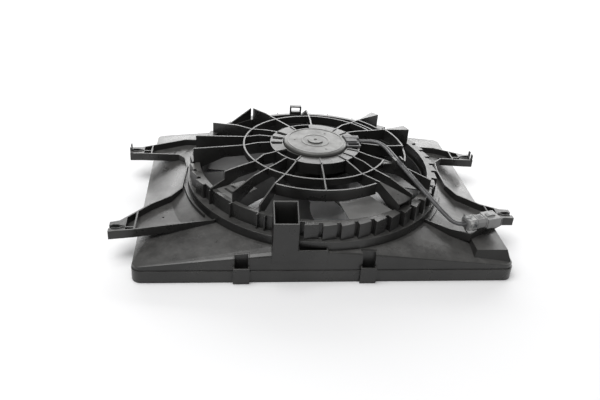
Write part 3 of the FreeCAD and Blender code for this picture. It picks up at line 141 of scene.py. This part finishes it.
class Surface:
    # a material whose colour, roughness and relief are built step by step
    def __init__(self, name, metallic=0.0, specular=0.5):
        self.material = bpy.data.materials.new(name)
        self.material.use_nodes = True
        self.tree = self.material.node_tree
        self.shader = self.tree.nodes["Principled BSDF"]
        self.shader.inputs["Metallic"].default_value = metallic
        self.shader.inputs["Specular IOR Level"].default_value = specular
        self.place = self.tree.nodes.new("ShaderNodeTexCoord").outputs["Object"]
        self.relief = None

    def node(self, kind, **settings):
        made = self.tree.nodes.new(kind)
        for key, value in settings.items():
            setattr(made, key, value)
        return made

    def link(self, start, end):
        self.tree.links.new(start, end)

    def noise(self, scale, detail=3, stretch=(1, 1, 1)):
        mapping = self.node("ShaderNodeMapping")
        mapping.inputs["Scale"].default_value = stretch
        self.link(self.place, mapping.inputs["Vector"])
        noise = self.node("ShaderNodeTexNoise")
        noise.inputs["Scale"].default_value = scale
        noise.inputs["Detail"].default_value = detail
        noise.inputs["Roughness"].default_value = noiseRough
        self.link(mapping.outputs["Vector"], noise.inputs["Vector"])
        return noise.outputs["Fac"]

    def remap(self, value, low, high, toLow=0.0, toHigh=1.0):
        ramp = self.node("ShaderNodeMapRange")
        ramp.inputs["From Min"].default_value = low
        ramp.inputs["From Max"].default_value = high
        ramp.inputs["To Min"].default_value = toLow
        ramp.inputs["To Max"].default_value = toHigh
        self.link(value, ramp.inputs["Value"])
        return ramp.outputs["Result"]

    def pattern(self, scale, low, high, toLow=0.0, toHigh=1.0, detail=3, stretch=(1, 1, 1)):
        # noise, cut off at low and high and set between toLow and toHigh
        return self.remap(self.noise(scale, detail, stretch), low, high, toLow, toHigh)

    def upward(self, low, high):
        # 1 on faces that look up, 0 on upright ones
        normal = self.node("ShaderNodeNewGeometry").outputs["Normal"]
        split = self.node("ShaderNodeSeparateXYZ")
        self.link(normal, split.inputs[0])
        return self.remap(split.outputs["Z"], low, high)

    def times(self, first, second):
        product = self.node("ShaderNodeMath", operation="MULTIPLY")
        self.link(first, product.inputs[0])
        self.link(second, product.inputs[1])
        return product.outputs[0]

    def blend(self, factor, first, second):
        # each of the two colours is written out or comes from another node
        mix = self.node("ShaderNodeMix", data_type="RGBA")
        self.link(factor, mix.inputs["Factor"])
        for socket, colour in ((mix.inputs["A"], first), (mix.inputs["B"], second)):
            if isinstance(colour, tuple):
                socket.default_value = (*colour, 1)
            else:
                self.link(colour, socket)
        return mix.outputs["Result"]

    def colour(self, socket):
        self.link(socket, self.shader.inputs["Base Color"])

    def roughness(self, rough, less, more, scale, detail=3, stretch=(1, 1, 1)):
        # wanders between rough - less and rough + more
        wander = self.pattern(scale, *glossRange, rough - less, rough + more, detail, stretch)
        self.link(wander, self.shader.inputs["Roughness"])

    def bump(self, strength, distance, scale, detail=3, stretch=(1, 1, 1)):
        # one more layer of relief on top of the layers before it
        bump = self.node("ShaderNodeBump")
        bump.inputs["Strength"].default_value = strength
        bump.inputs["Distance"].default_value = distance
        self.link(self.noise(scale, detail, stretch), bump.inputs["Height"])
        if self.relief:
            self.link(self.relief, bump.inputs["Normal"])
        self.relief = bump.outputs["Normal"]
        self.link(self.relief, self.shader.inputs["Normal"])


plastic = {
    "tone": {"scale": 14, "low": 0.35, "high": 0.68},
    "streaks": {"scale": 60, "low": 0.66, "high": 0.8, "toHigh": 0.5, "detail": 4, "stretch": (1, 9, 3)},
    "streakGain": 1.7,  # how much paler than the pale tone
    # the pale grey of real dust and painted sheen on up-facing faces
    "dustAndSheenColour": (0.3, 0.295, 0.285),
    "dustAndSheenFaces": (0.55, 1.0),  # how far a face looks up where the dust and painted sheen start and where they are full
    "dustAndSheenPatches": {"scale": 34, "low": 0.3, "high": 0.75, "toLow": 0.25, "detail": 5},
    "dustAndSheenSpecks": {"scale": 210, "low": 0.2, "high": 0.8, "detail": 2},
    "dustAndSheenLeast": 0.6,  # the least dust and painted sheen between the specks, as a share of the most
    "gloss": {"less": 0.06, "more": 0.08, "scale": 26, "detail": 4},
    "sparkGrain": {"strength": 0.16, "distance": 0.0004, "scale": 1500, "detail": 2},
    "waves": {"strength": 0.1, "distance": 0.002, "scale": 42},
}


def mouldedPlastic(name, dark, pale, rough, dustAndSheen):
    # fine spark-eroded grain, slow changes of tone, faint rubbed streaks, and a film of dust and painted
    # sheen that makes up-facing faces paler
    skin = Surface(name)
    tone = skin.blend(skin.pattern(**plastic["tone"]), dark, pale)
    streakColour = tuple(value * plastic["streakGain"] for value in pale)
    tone = skin.blend(skin.pattern(**plastic["streaks"]), tone, streakColour)
    # up-facing faces are blended towards pale grey: partly real dust, partly painted sheen standing in
    # for the reflection of the light behind
    dustAndSheenFilm = skin.times(skin.upward(*plastic["dustAndSheenFaces"]), skin.pattern(**plastic["dustAndSheenPatches"]))
    specks = skin.pattern(toLow=dustAndSheen * plastic["dustAndSheenLeast"], toHigh=dustAndSheen, **plastic["dustAndSheenSpecks"])
    skin.colour(skin.blend(skin.times(dustAndSheenFilm, specks), tone, plastic["dustAndSheenColour"]))
    skin.roughness(rough, **plastic["gloss"])
    skin.bump(**plastic["sparkGrain"])
    skin.bump(**plastic["waves"])
    return skin.material


bareMetal = {
    "tone": {"low": 0.35, "high": 0.65, "detail": 4},
    "toneSize": 8,  # patches of tone against the grain
    "gloss": {"less": 0.07, "more": 0.1},
    "relief": {"strength": 0.08, "distance": 0.0003},
}


def metal(name, dark, pale, rough, stretch=(1, 1, 1), grain=420):
    # grain and patches of tone, drawn out into lines where stretch says so
    skin = Surface(name, metallic=1.0)
    tone = skin.pattern(grain / bareMetal["toneSize"], stretch=stretch, **bareMetal["tone"])
    skin.colour(skin.blend(tone, dark, pale))
    skin.roughness(rough, scale=grain, stretch=stretch, **bareMetal["gloss"])
    skin.bump(scale=grain, stretch=stretch, **bareMetal["relief"])
    return skin.material


paint = {
    "metallic": 0.1,
    "specular": 0.36,
    "tone": {"scale": 18, "low": 0.38, "high": 0.66, "detail": 4},
    # the pale grey of real dust and painted sheen on up-facing faces
    "dustAndSheenColour": (0.28, 0.28, 0.27),
    "dustAndSheenFaces": (0.6, 1.0),
    "dustAndSheenPatches": {"scale": 50, "low": 0.35, "high": 0.75, "toLow": 0.1, "toHigh": 0.55, "detail": 5},
    "gloss": {"less": 0.05, "more": 0.08, "scale": 70, "detail": 4},
    "orangePeel": {"strength": 0.07, "distance": 0.0006, "scale": 340, "detail": 2},
}


def paintedSteel(name, dark, pale, rough):
    # a thin coat of paint with orange peel, slow changes of tone, and fine dust with painted sheen that
    # makes up-facing faces paler
    skin = Surface(name, paint["metallic"], paint["specular"])
    tone = skin.blend(skin.pattern(**paint["tone"]), dark, pale)
    # up-facing faces are blended towards pale grey: partly real dust, partly painted sheen standing in
    # for the reflection of the light behind
    dustAndSheenFilm = skin.times(skin.upward(*paint["dustAndSheenFaces"]), skin.pattern(**paint["dustAndSheenPatches"]))
    skin.colour(skin.blend(dustAndSheenFilm, tone, paint["dustAndSheenColour"]))
    skin.roughness(rough, **paint["gloss"])
    skin.bump(**paint["orangePeel"])
    return skin.material


dull = {
    "specular": 0.35,
    "tone": {"low": 0.35, "high": 0.65},
    "toneSize": 10,  # patches of tone against the grain
    "gloss": {"less": 0.08, "more": 0.06},
    "glossSize": 6,  # patches of gloss against the grain
    "relief": {"strength": 0.14, "distance": 0.0004, "detail": 2},
}


def softSkin(name, dark, pale, rough, grain):
    # rubber, cloth, resin, ferrite, carbon and the lead's cover: fine grain, patches of tone and gloss
    skin = Surface(name, specular=dull["specular"])
    tone = skin.pattern(grain / dull["toneSize"], **dull["tone"])
    skin.colour(skin.blend(tone, dark, pale))
    skin.roughness(rough, scale=grain / dull["glossSize"], **dull["gloss"])
    skin.bump(scale=grain, **dull["relief"])
    return skin.material


# the two colours are the dark and the pale tone, then comes the roughness
materials = {
    "shroud": mouldedPlastic(
        "shroudPlastic", (0.0155, 0.0153, 0.0148), (0.026, 0.0256, 0.0245), 0.3, dustAndSheen=0.32),
    "fan": mouldedPlastic("fanPlastic", (0.017, 0.017, 0.017), (0.028, 0.028, 0.028), 0.38, dustAndSheen=0.12),
    # the cover plates' plastic is the shroud's, made far paler to paint the reflection they show
    "plate": mouldedPlastic("platePaintedReflection", (0.1, 0.1, 0.098), (0.15, 0.15, 0.147), 0.42, dustAndSheen=0.32),
    "connector": mouldedPlastic("connectorPlastic", (0.2, 0.2, 0.2), (0.27, 0.27, 0.268), 0.4, dustAndSheen=0.1),
    "canSteel": paintedSteel("canSteel", (0.06, 0.06, 0.057), (0.085, 0.085, 0.08), 0.36),
    "plated": metal("platedSteel", (0.46, 0.46, 0.45), (0.62, 0.61, 0.58), 0.3),
    "magnet": softSkin("magnetFerrite", (0.045, 0.045, 0.048), (0.075, 0.075, 0.078), 0.6, grain=500),
    "core": metal("coreSteel", (0.24, 0.24, 0.25), (0.4, 0.4, 0.41), 0.4, stretch=(1, 1, 60), grain=90),
    "copper": metal(
        "windingCopper", (0.5, 0.2, 0.09), (0.7, 0.33, 0.15), 0.34, stretch=(1, 1, 14), grain=260),
    "bronze": metal("bushBronze", (0.4, 0.27, 0.13), (0.55, 0.4, 0.2), 0.42),
    "card": softSkin("cardResin", (0.16, 0.085, 0.04), (0.25, 0.14, 0.065), 0.5, grain=600),
    "carbon": softSkin("brushCarbon", (0.018, 0.018, 0.019), (0.035, 0.035, 0.036), 0.55, grain=900),
    "lead": softSkin("leadCover", (0.07, 0.07, 0.072), (0.11, 0.11, 0.113), 0.33, grain=700),
    "tape": softSkin("clothTape", (0.06, 0.065, 0.068), (0.46, 0.46, 0.45), 0.55, grain=1400),
    "rubber": softSkin("grommetRubber", (0.1, 0.1, 0.102), (0.15, 0.15, 0.152), 0.5, grain=700),
    "tinned": metal("tinnedBrass", (0.55, 0.53, 0.46), (0.72, 0.7, 0.62), 0.3),
}
# the nodes that aren't of the shroud's own plastic finish; the cover plates keep its plastic, made paler
# as a painted reflection
finishOf = {
    "cover_plate_left": "plate",
    "cover_plate_right": "plate",
    "motor_can": "canSteel",
    "motor_end_cap": "plated",
    "motor_screws": "plated",
    "drive_end_bearing": "plated",
    "rear_bush": "bronze",
    "motor_magnets": "magnet",
    "brush_card": "card",
    "brushes": "carbon",
    "brush_springs": "plated",
    "lead_grommet": "rubber",
    "motor_lead": "lead",
    "connector_body": "connector",
    "connector_seal": "rubber",
    "connector_terminals": "tinned",
    "fan_hub": "fan",
    "fan_blades": "fan",
    "fan_band": "fan",
    "hub_insert": "plated",
    "shaft_washer": "plated",
    "shaft_nut": "plated",
    "motor_shaft": "plated",
    "armature_core": "core",
    "armature_windings": "copper",
    "commutator": "copper",
}
# how wide the edges are rounded, in millimetres
edgeOf = {
    "shroud_hood": 1.2,
    "fan_barrel": 0.6,
    "guard_ribs": 0.5,
    "guard_ring_inner": 0.5,
    "guard_ring_outer": 0.5,
    "motor_mount_ring": 0.6,
    "cover_plate_left": 0.5,
    "cover_plate_right": 0.5,
    "front_socket": 0.6,
    "rear_clip_box": 0.7,
    "edge_clip_left": 0.6,
    "edge_clip_right": 0.6,
    "connector_body": 0.7,
    "connector_bracket": 0.5,
    "lead_saddle": 0.5,
    "lead_grommet": 0.8,
    "arm_front_left": 0.7,
    "arm_rear_left": 0.7,
    "arm_front_right": 0.7,
    "arm_rear_right": 0.7,
    "shaft_nut": 0.5,
}
rounding = {
    "merge": 0.00001,  # metres
    "segments": 2,
    "leastTurn": 35,  # degrees, edges that turn less stay as they are
    "flatness": 100,  # how much the large faces decide the shading
}


def softenEdges(piece, width):
    # welds the split corners of a CAD mesh and rounds its sharp edges
    weld = piece.modifiers.new("weld", "WELD")
    weld.merge_threshold = rounding["merge"]
    bevel = piece.modifiers.new("edge", "BEVEL")
    bevel.width = width / 1000
    bevel.segments = rounding["segments"]
    bevel.limit_method = "ANGLE"
    bevel.angle_limit = math.radians(rounding["leastTurn"])
    bevel.use_clamp_overlap = True
    shade = piece.modifiers.new("shade", "WEIGHTED_NORMAL")
    shade.weight = rounding["flatness"]
    shade.keep_sharp = True


def finishNodes():
    for name, node in nodes.items():
        node.data.materials.clear()
        node.data.materials.append(materials[finishOf.get(name, "shroud")])
        if name in edgeOf:
            softenEdges(node, edgeOf[name])


# Small mouldings and fittings, built as closed meshes in millimetres

class Shape:
    # collects closed solids for one piece
    def __init__(self):
        self.mesh = bmesh.new()

    def skin(self, rings, closed=False):
        # joins rings of points in a row; an open row gets an end face on each side
        rows = [[self.mesh.verts.new(Vector(point) / 1000) for point in ring] for ring in rings]
        count = len(rows[0])
        pairs = list(zip(rows, rows[1:]))
        if closed:
            pairs.append((rows[-1], rows[0]))
        for first, second in pairs:
            for number in range(count):
                after = (number + 1) % count
                self.mesh.faces.new((first[number], first[after], second[after], second[number]))
        if not closed:
            self.mesh.faces.new(rows[0][::-1])
            self.mesh.faces.new(rows[-1])

    def bar(self, path, width, low, high):
        # an upright band along a line of points in plan
        rings = []
        for number, point in enumerate(path):
            before = Vector(path[max(number - 1, 0)])
            after = Vector(path[min(number + 1, len(path) - 1)])
            along = (after - before).normalized()
            across = Vector((-along.y, along.x)) * (width / 2)
            left, right = Vector(point) + across, Vector(point) - across
            rings.append([(*left, low), (*right, low), (*right, high), (*left, high)])
        self.skin(rings)

    def lathe(self, profile, steps=96):
        # turns a closed half section, given as radius and height, about the fan axis
        rings = []
        for number in range(steps):
            turn = 2 * math.pi * number / steps
            rings.append([(r * math.cos(turn), r * math.sin(turn), z) for r, z in profile])
        self.skin(rings, closed=True)

    def piece(self, name, body, slot, material, edge=0.0, matrix=None):
        # makes the object, gives it its finish and lets it ride on its body
        bmesh.ops.recalc_face_normals(self.mesh, faces=self.mesh.faces[:])
        data = bpy.data.meshes.new(name)
        if matrix:
            self.mesh.transform(matrix)
        self.mesh.to_mesh(data)
        self.mesh.free()
        made = bpy.data.objects.new(name, data)
        scene.collection.objects.link(made)
        data.materials.append(materials[material])
        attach(made, body)
        if edge:
            softenEdges(made, edge)


def turned(radius, angle):
    return radius * math.cos(math.radians(angle)), radius * math.sin(math.radians(angle))


ringRib = {
    "angles": (271.5, 306, 320.5, 338, 53.3, 37, 120, 144.5, 161, 178.5, 206, 240),
    "start": 59.5,
    "end": 80.5,
    "width": 2.2,
    "top": 132.4,
    "sink": 0.4,
    "edge": 0.4,
}


def makeRingRibs(plate):
    # low ribs that carry the guard ribs on over the mounting plate
    ribs = Shape()
    for angle in ringRib["angles"]:
        path = [turned(ringRib["start"], angle), turned(ringRib["end"], angle)]
        ribs.bar(path, ringRib["width"], plate - ringRib["sink"], ringRib["top"])
    ribs.piece("ringRibs", "shroud", "shroud_plastic", "shroud", ringRib["edge"])


canPress = {
    "level": 136.5,  # the flat of the can's closed end
    "sink": 0.3,
    "beads": ({"radius": 50.5, "half": 1.6, "height": 0.7}, {"radius": 24, "half": 2.2, "height": 0.5}),
    "beadSteps": 8,
    "stakeCircle": 37,
    "stakeCount": 3,
    "stakePhase": 55,
    "stakeRadius": 2.4,
    "stakeHeight": 0.6,
    "stakeTaper": (1, 0.95, 0.6),  # share of the radius at the foot, half way up and at the top
    "stakeSides": 24,
}


def makeCanPress():
    # the pressed beads and stakes in the closed end of the can
    press = Shape()
    level = canPress["level"]
    foot = level - canPress["sink"]
    steps = canPress["beadSteps"]
    for bead in canPress["beads"]:
        radius, half = bead["radius"], bead["half"]
        profile = [(radius + half, foot), (radius - half, foot)]
        for step in range(steps + 1):
            turn = math.pi * step / steps
            profile.append((radius - half * math.cos(turn), level + bead["height"] * math.sin(turn)))
        press.lathe(profile)
    sides = canPress["stakeSides"]
    heights = (foot, level + canPress["stakeHeight"] / 2, level + canPress["stakeHeight"])
    for number in range(canPress["stakeCount"]):
        angle = canPress["stakePhase"] + 360 * number / canPress["stakeCount"]
        centre = turned(canPress["stakeCircle"], angle)
        rings = []
        for height, share in zip(heights, canPress["stakeTaper"]):
            ring = [turned(canPress["stakeRadius"] * share, 360 * side / sides) for side in range(sides)]
            rings.append([(centre[0] + x, centre[1] + y, height) for x, y in ring])
        press.skin(rings)
    press.piece("canPress", "shroud", "motor_steel", "canSteel")


forkRim = {
    # where each arm ends, the line of its slot, and which way the arm runs from its end
    "tips": ((-346, -170, 1), (-345, 103, 1), (340, -127, -1), (337, 91, -1)),
    "level": 60,  # the flat top of the arms
    "sink": 0.4,
    "height": 1.3,
    "width": 1.5,
    "slotHalf": 5.4,
    # distances from the arm's end
    "fork": 25,
    "bendStart": 17.5,
    "bendEnd": 12.5,
    "rimEnd": 4.5,
    "bendShare": 0.8,  # how near the rim is to the slot's side where the bend starts
    "edge": 0.4,
}


def makeForkRims():
    # raised rims that open like a Y round the slot at the end of each arm
    rims = Shape()
    low, high = forkRim["level"] - forkRim["sink"], forkRim["level"] + forkRim["height"]
    for tip, line, inward in forkRim["tips"]:
        for side in (-1, 1):
            half = side * forkRim["slotHalf"]
            path = [
                (tip + inward * forkRim["fork"], line + side * forkRim["width"] / 2),
                (tip + inward * forkRim["bendStart"], line + half * forkRim["bendShare"]),
                (tip + inward * forkRim["bendEnd"], line + half),
                (tip + inward * forkRim["rimEnd"], line + half),
            ]
            rims.bar(path, forkRim["width"], low, high)
    rims.piece("forkRims", "shroud", "shroud_plastic", "shroud", forkRim["edge"])


hook = {
    "places": ((-24, 216, 84), (-28, 218, 95.5)),  # angle, radius and height of each
    "width": 4,
    "reach": 7,
    "rise": 6,
    "wall": 2,
    "lap": 0.4,
    "edge": 0.4,
}


def makeWireHooks():
    # two small hooks outside the crown that keep the lead from the teeth
    hooks = Shape()
    wall = hook["wall"]
    for angle, radius, low in hook["places"]:
        outer = radius + hook["reach"]
        path = [turned(radius, angle), turned(outer, angle)]
        hooks.bar(path, hook["width"], low, low + wall)
        path = [turned(outer - wall, angle), turned(outer, angle)]
        hooks.bar(path, hook["width"], low + wall - hook["lap"], low + hook["rise"])
    hooks.piece("wireHooks", "shroud", "shroud_plastic", "shroud", hook["edge"])


crownTrim = {
    "buttressAngles": (211.5, 225.5, 239.5, 243, 62, 76, 104),
    "buttressStart": 215.5,  # radius, just inside the crown's outer face
    "buttressReach": 5.5,
    "buttressWidth": 2.4,
    "buttressLow": 69,
    "buttressTop": 96.6,
    "gutters": ((187, 214), (322, 343)),  # angles where each starts and ends
    "gutterRadius": 236.5,
    "gutterWidth": 1.8,
    "gutterLow": 50,
    "gutterTop": 60.5,
    "edge": 0.4,
}


def makeCrownTrim():
    # upright buttresses on the plain stretches of the crown, and two curved gutter walls beside the arms
    trim = Shape()
    near = crownTrim["buttressStart"]
    far = near + crownTrim["buttressReach"]
    for angle in crownTrim["buttressAngles"]:
        path = [turned(near, angle), turned(far, angle)]
        trim.bar(path, crownTrim["buttressWidth"], crownTrim["buttressLow"], crownTrim["buttressTop"])
    for first, last in crownTrim["gutters"]:
        path = [turned(crownTrim["gutterRadius"], angle) for angle in range(first, last + 1)]
        trim.bar(path, crownTrim["gutterWidth"], crownTrim["gutterLow"], crownTrim["gutterTop"])
    trim.piece("crownTrim", "shroud", "shroud_plastic", "shroud", crownTrim["edge"])


gusset = {
    "corners": ((129.5, 328), (129.5, 334), (150, 333.8)),  # radius and angle of each
    "thickness": 1.5,
    "drop": 1.6,
    "edge": 0.2,
}


def makeGusset(top):
    # a small flat plate in the corner between the inner ring and the right hand rib, beside the saddle
    corners = [turned(radius, angle) for radius, angle in gusset["corners"]]
    high = top - gusset["drop"]
    low = high - gusset["thickness"]
    plate = Shape()
    plate.skin([[(*point, level) for point in corners] for level in (low, high)])
    # the gusset takes the cover plates' paler plastic, which paints a reflection on it
    plate.piece("saddleGusset", "shroud", "shroud_plastic", "plate", gusset["edge"])


# the connector's barrel, as the solid has it
barrel = {
    "place": (238, -177, 63),  # the middle of its cable end, at its underside
    "yaw": 15,
    "width": 24,
    "height": 18,
    "chamfer": 4.5,
}


def barrelMatrix():
    place = Matrix.Translation(Vector(barrel["place"]) / 1000)
    return place @ Matrix.Rotation(math.radians(barrel["yaw"]), 4, "Z")


def barrelRing(along, proud):
    # an octagon round the connector's barrel, standing proud of it
    half = barrel["width"] / 2 + proud
    low, high = -proud, barrel["height"] + proud
    cut = barrel["chamfer"]
    corners = ((-half + cut, low), (half - cut, low), (half, low + cut), (half, high - cut),
               (half - cut, high), (-half + cut, high), (-half, high - cut), (-half, low + cut))
    return [(along, across, up) for across, up in corners]


plugTrim = {
    "collars": ((17.5, 19.5, 0.9), (33.5, 35.5, 1.1)),  # start, end and how far proud
    "collarSink": 0.3,
    "latch": ((39, 1.2, 2.0), (43, 1.2, 3.2), (52, 1.2, 3.2), (55, 1.2, 1.0)),  # along, sunk and proud
    "latchWidth": 9,
    "gripCount": 4,
    "gripStart": 22,
    "gripPitch": 2.6,
    "gripLength": 11,
    "gripWidth": 1.1,
    "gripSink": 0.4,
    "gripProud": 0.9,
    "edge": 0.3,
}


def makePlugTrim():
    # two collars round the connector, and its latch and grip ribs on top
    trim = Shape()
    sunk = -plugTrim["collarSink"]
    for start, end, proud in plugTrim["collars"]:
        section = ((start, sunk), (start, proud), (end, proud), (end, sunk))
        trim.skin([barrelRing(along, out) for along, out in section])
    top = barrel["height"]
    half = plugTrim["latchWidth"] / 2
    rings = []
    for along, sink, proud in plugTrim["latch"]:
        low, high = top - sink, top + proud
        rings.append([(along, -half, low), (along, half, low), (along, half, high), (along, -half, high)])
    trim.skin(rings)
    reach = plugTrim["gripLength"] / 2
    for number in range(plugTrim["gripCount"]):
        along = plugTrim["gripStart"] + number * plugTrim["gripPitch"]
        path = [(along, -reach), (along, reach)]
        trim.bar(path, plugTrim["gripWidth"], top - plugTrim["gripSink"], top + plugTrim["gripProud"])
    trim.piece("plugTrim", "shroud", "connector_plastic", "connector", plugTrim["edge"], barrelMatrix())


tapeWrap = {
    "start": 1.0,
    "turns": 7,
    "pitch": 2.1,
    "proud": 1.5,
    "swing": 0.25,  # how much the turns differ in height
    "phase": 2.4,  # how fast the height changes from turn to turn
    "profile": ((0, 0.55), (0.3, 1), (0.85, 0.9)),  # along one turn, and its height there
    "runIn": 0.2,
    "sink": 0.3,
}


def makeTapeWrap():
    # the tape wound round the connector's cable end, in turns of slightly different height
    rings = [barrelRing(tapeWrap["start"] - tapeWrap["runIn"], -tapeWrap["sink"])]
    pitch, swing = tapeWrap["pitch"], tapeWrap["swing"]
    for number in range(tapeWrap["turns"]):
        start = tapeWrap["start"] + number * pitch
        lift = tapeWrap["proud"] * (1 - swing + swing * math.sin(number * tapeWrap["phase"]))
        rings += [barrelRing(start + pitch * along, lift * share) for along, share in tapeWrap["profile"]]
    rings.append(barrelRing(tapeWrap["start"] + tapeWrap["turns"] * pitch, -tapeWrap["sink"]))
    tape = Shape()
    tape.skin(rings)
    tape.piece("tapeWrap", "shroud", "connector_plastic", "tape", matrix=barrelMatrix())


hubRing = {"radii": (30, 46, 62), "half": 1.2, "height": 1.0, "sink": 0.3}


def makeHubRings(low):
    # shallow rings moulded on the front of the fan hub
    rings = Shape()
    half = hubRing["half"]
    foot, crest = low + hubRing["sink"], low - hubRing["height"]
    for radius in hubRing["radii"]:
        rings.lathe([(radius - half, foot), (radius - half / 2, crest),
                     (radius + half / 2, crest), (radius + half, foot)])
    rings.piece("hubRings", "fan", "fan_plastic", "fan")


thread = {"pitch": 1.25, "root": 3.8, "rootHalf": 0.45, "crest": 4.25, "crestHalf": 0.12, "steps": 40}


def makeShaftThread():
    # the turns of the thread on the end of the shaft, below the nut
    turns = Shape()
    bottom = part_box("motor_shaft")[0][2] * 1000
    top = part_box("shaft_nut")[0][2] * 1000
    root, crest = thread["root"], thread["crest"]
    for number in range(int((top - bottom) / thread["pitch"]) - 1):
        middle = bottom + thread["pitch"] * (number + 1)
        profile = [(root, middle - thread["rootHalf"]), (crest, middle - thread["crestHalf"]),
                   (crest, middle + thread["crestHalf"]), (root, middle + thread["rootHalf"])]
        turns.lathe(profile, thread["steps"])
    turns.piece("shaftThread", "fan", "plated_steel", "plated")


makeCamera()
makeLight()
makeFloor()
print("camera and studio made")

scene.view_settings.view_transform = "Standard"
finishNodes()
print("materials and edges made")

makeRingRibs(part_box("motor_mount_ring")[1][2] * 1000)
makeCanPress()
makeForkRims()
makeWireHooks()
makeCrownTrim()
makeGusset(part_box("guard_ring_inner")[1][2] * 1000)
makePlugTrim()
makeTapeWrap()
makeHubRings(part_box("fan_hub")[0][2] * 1000)
makeShaftThread()
print("small fittings made")
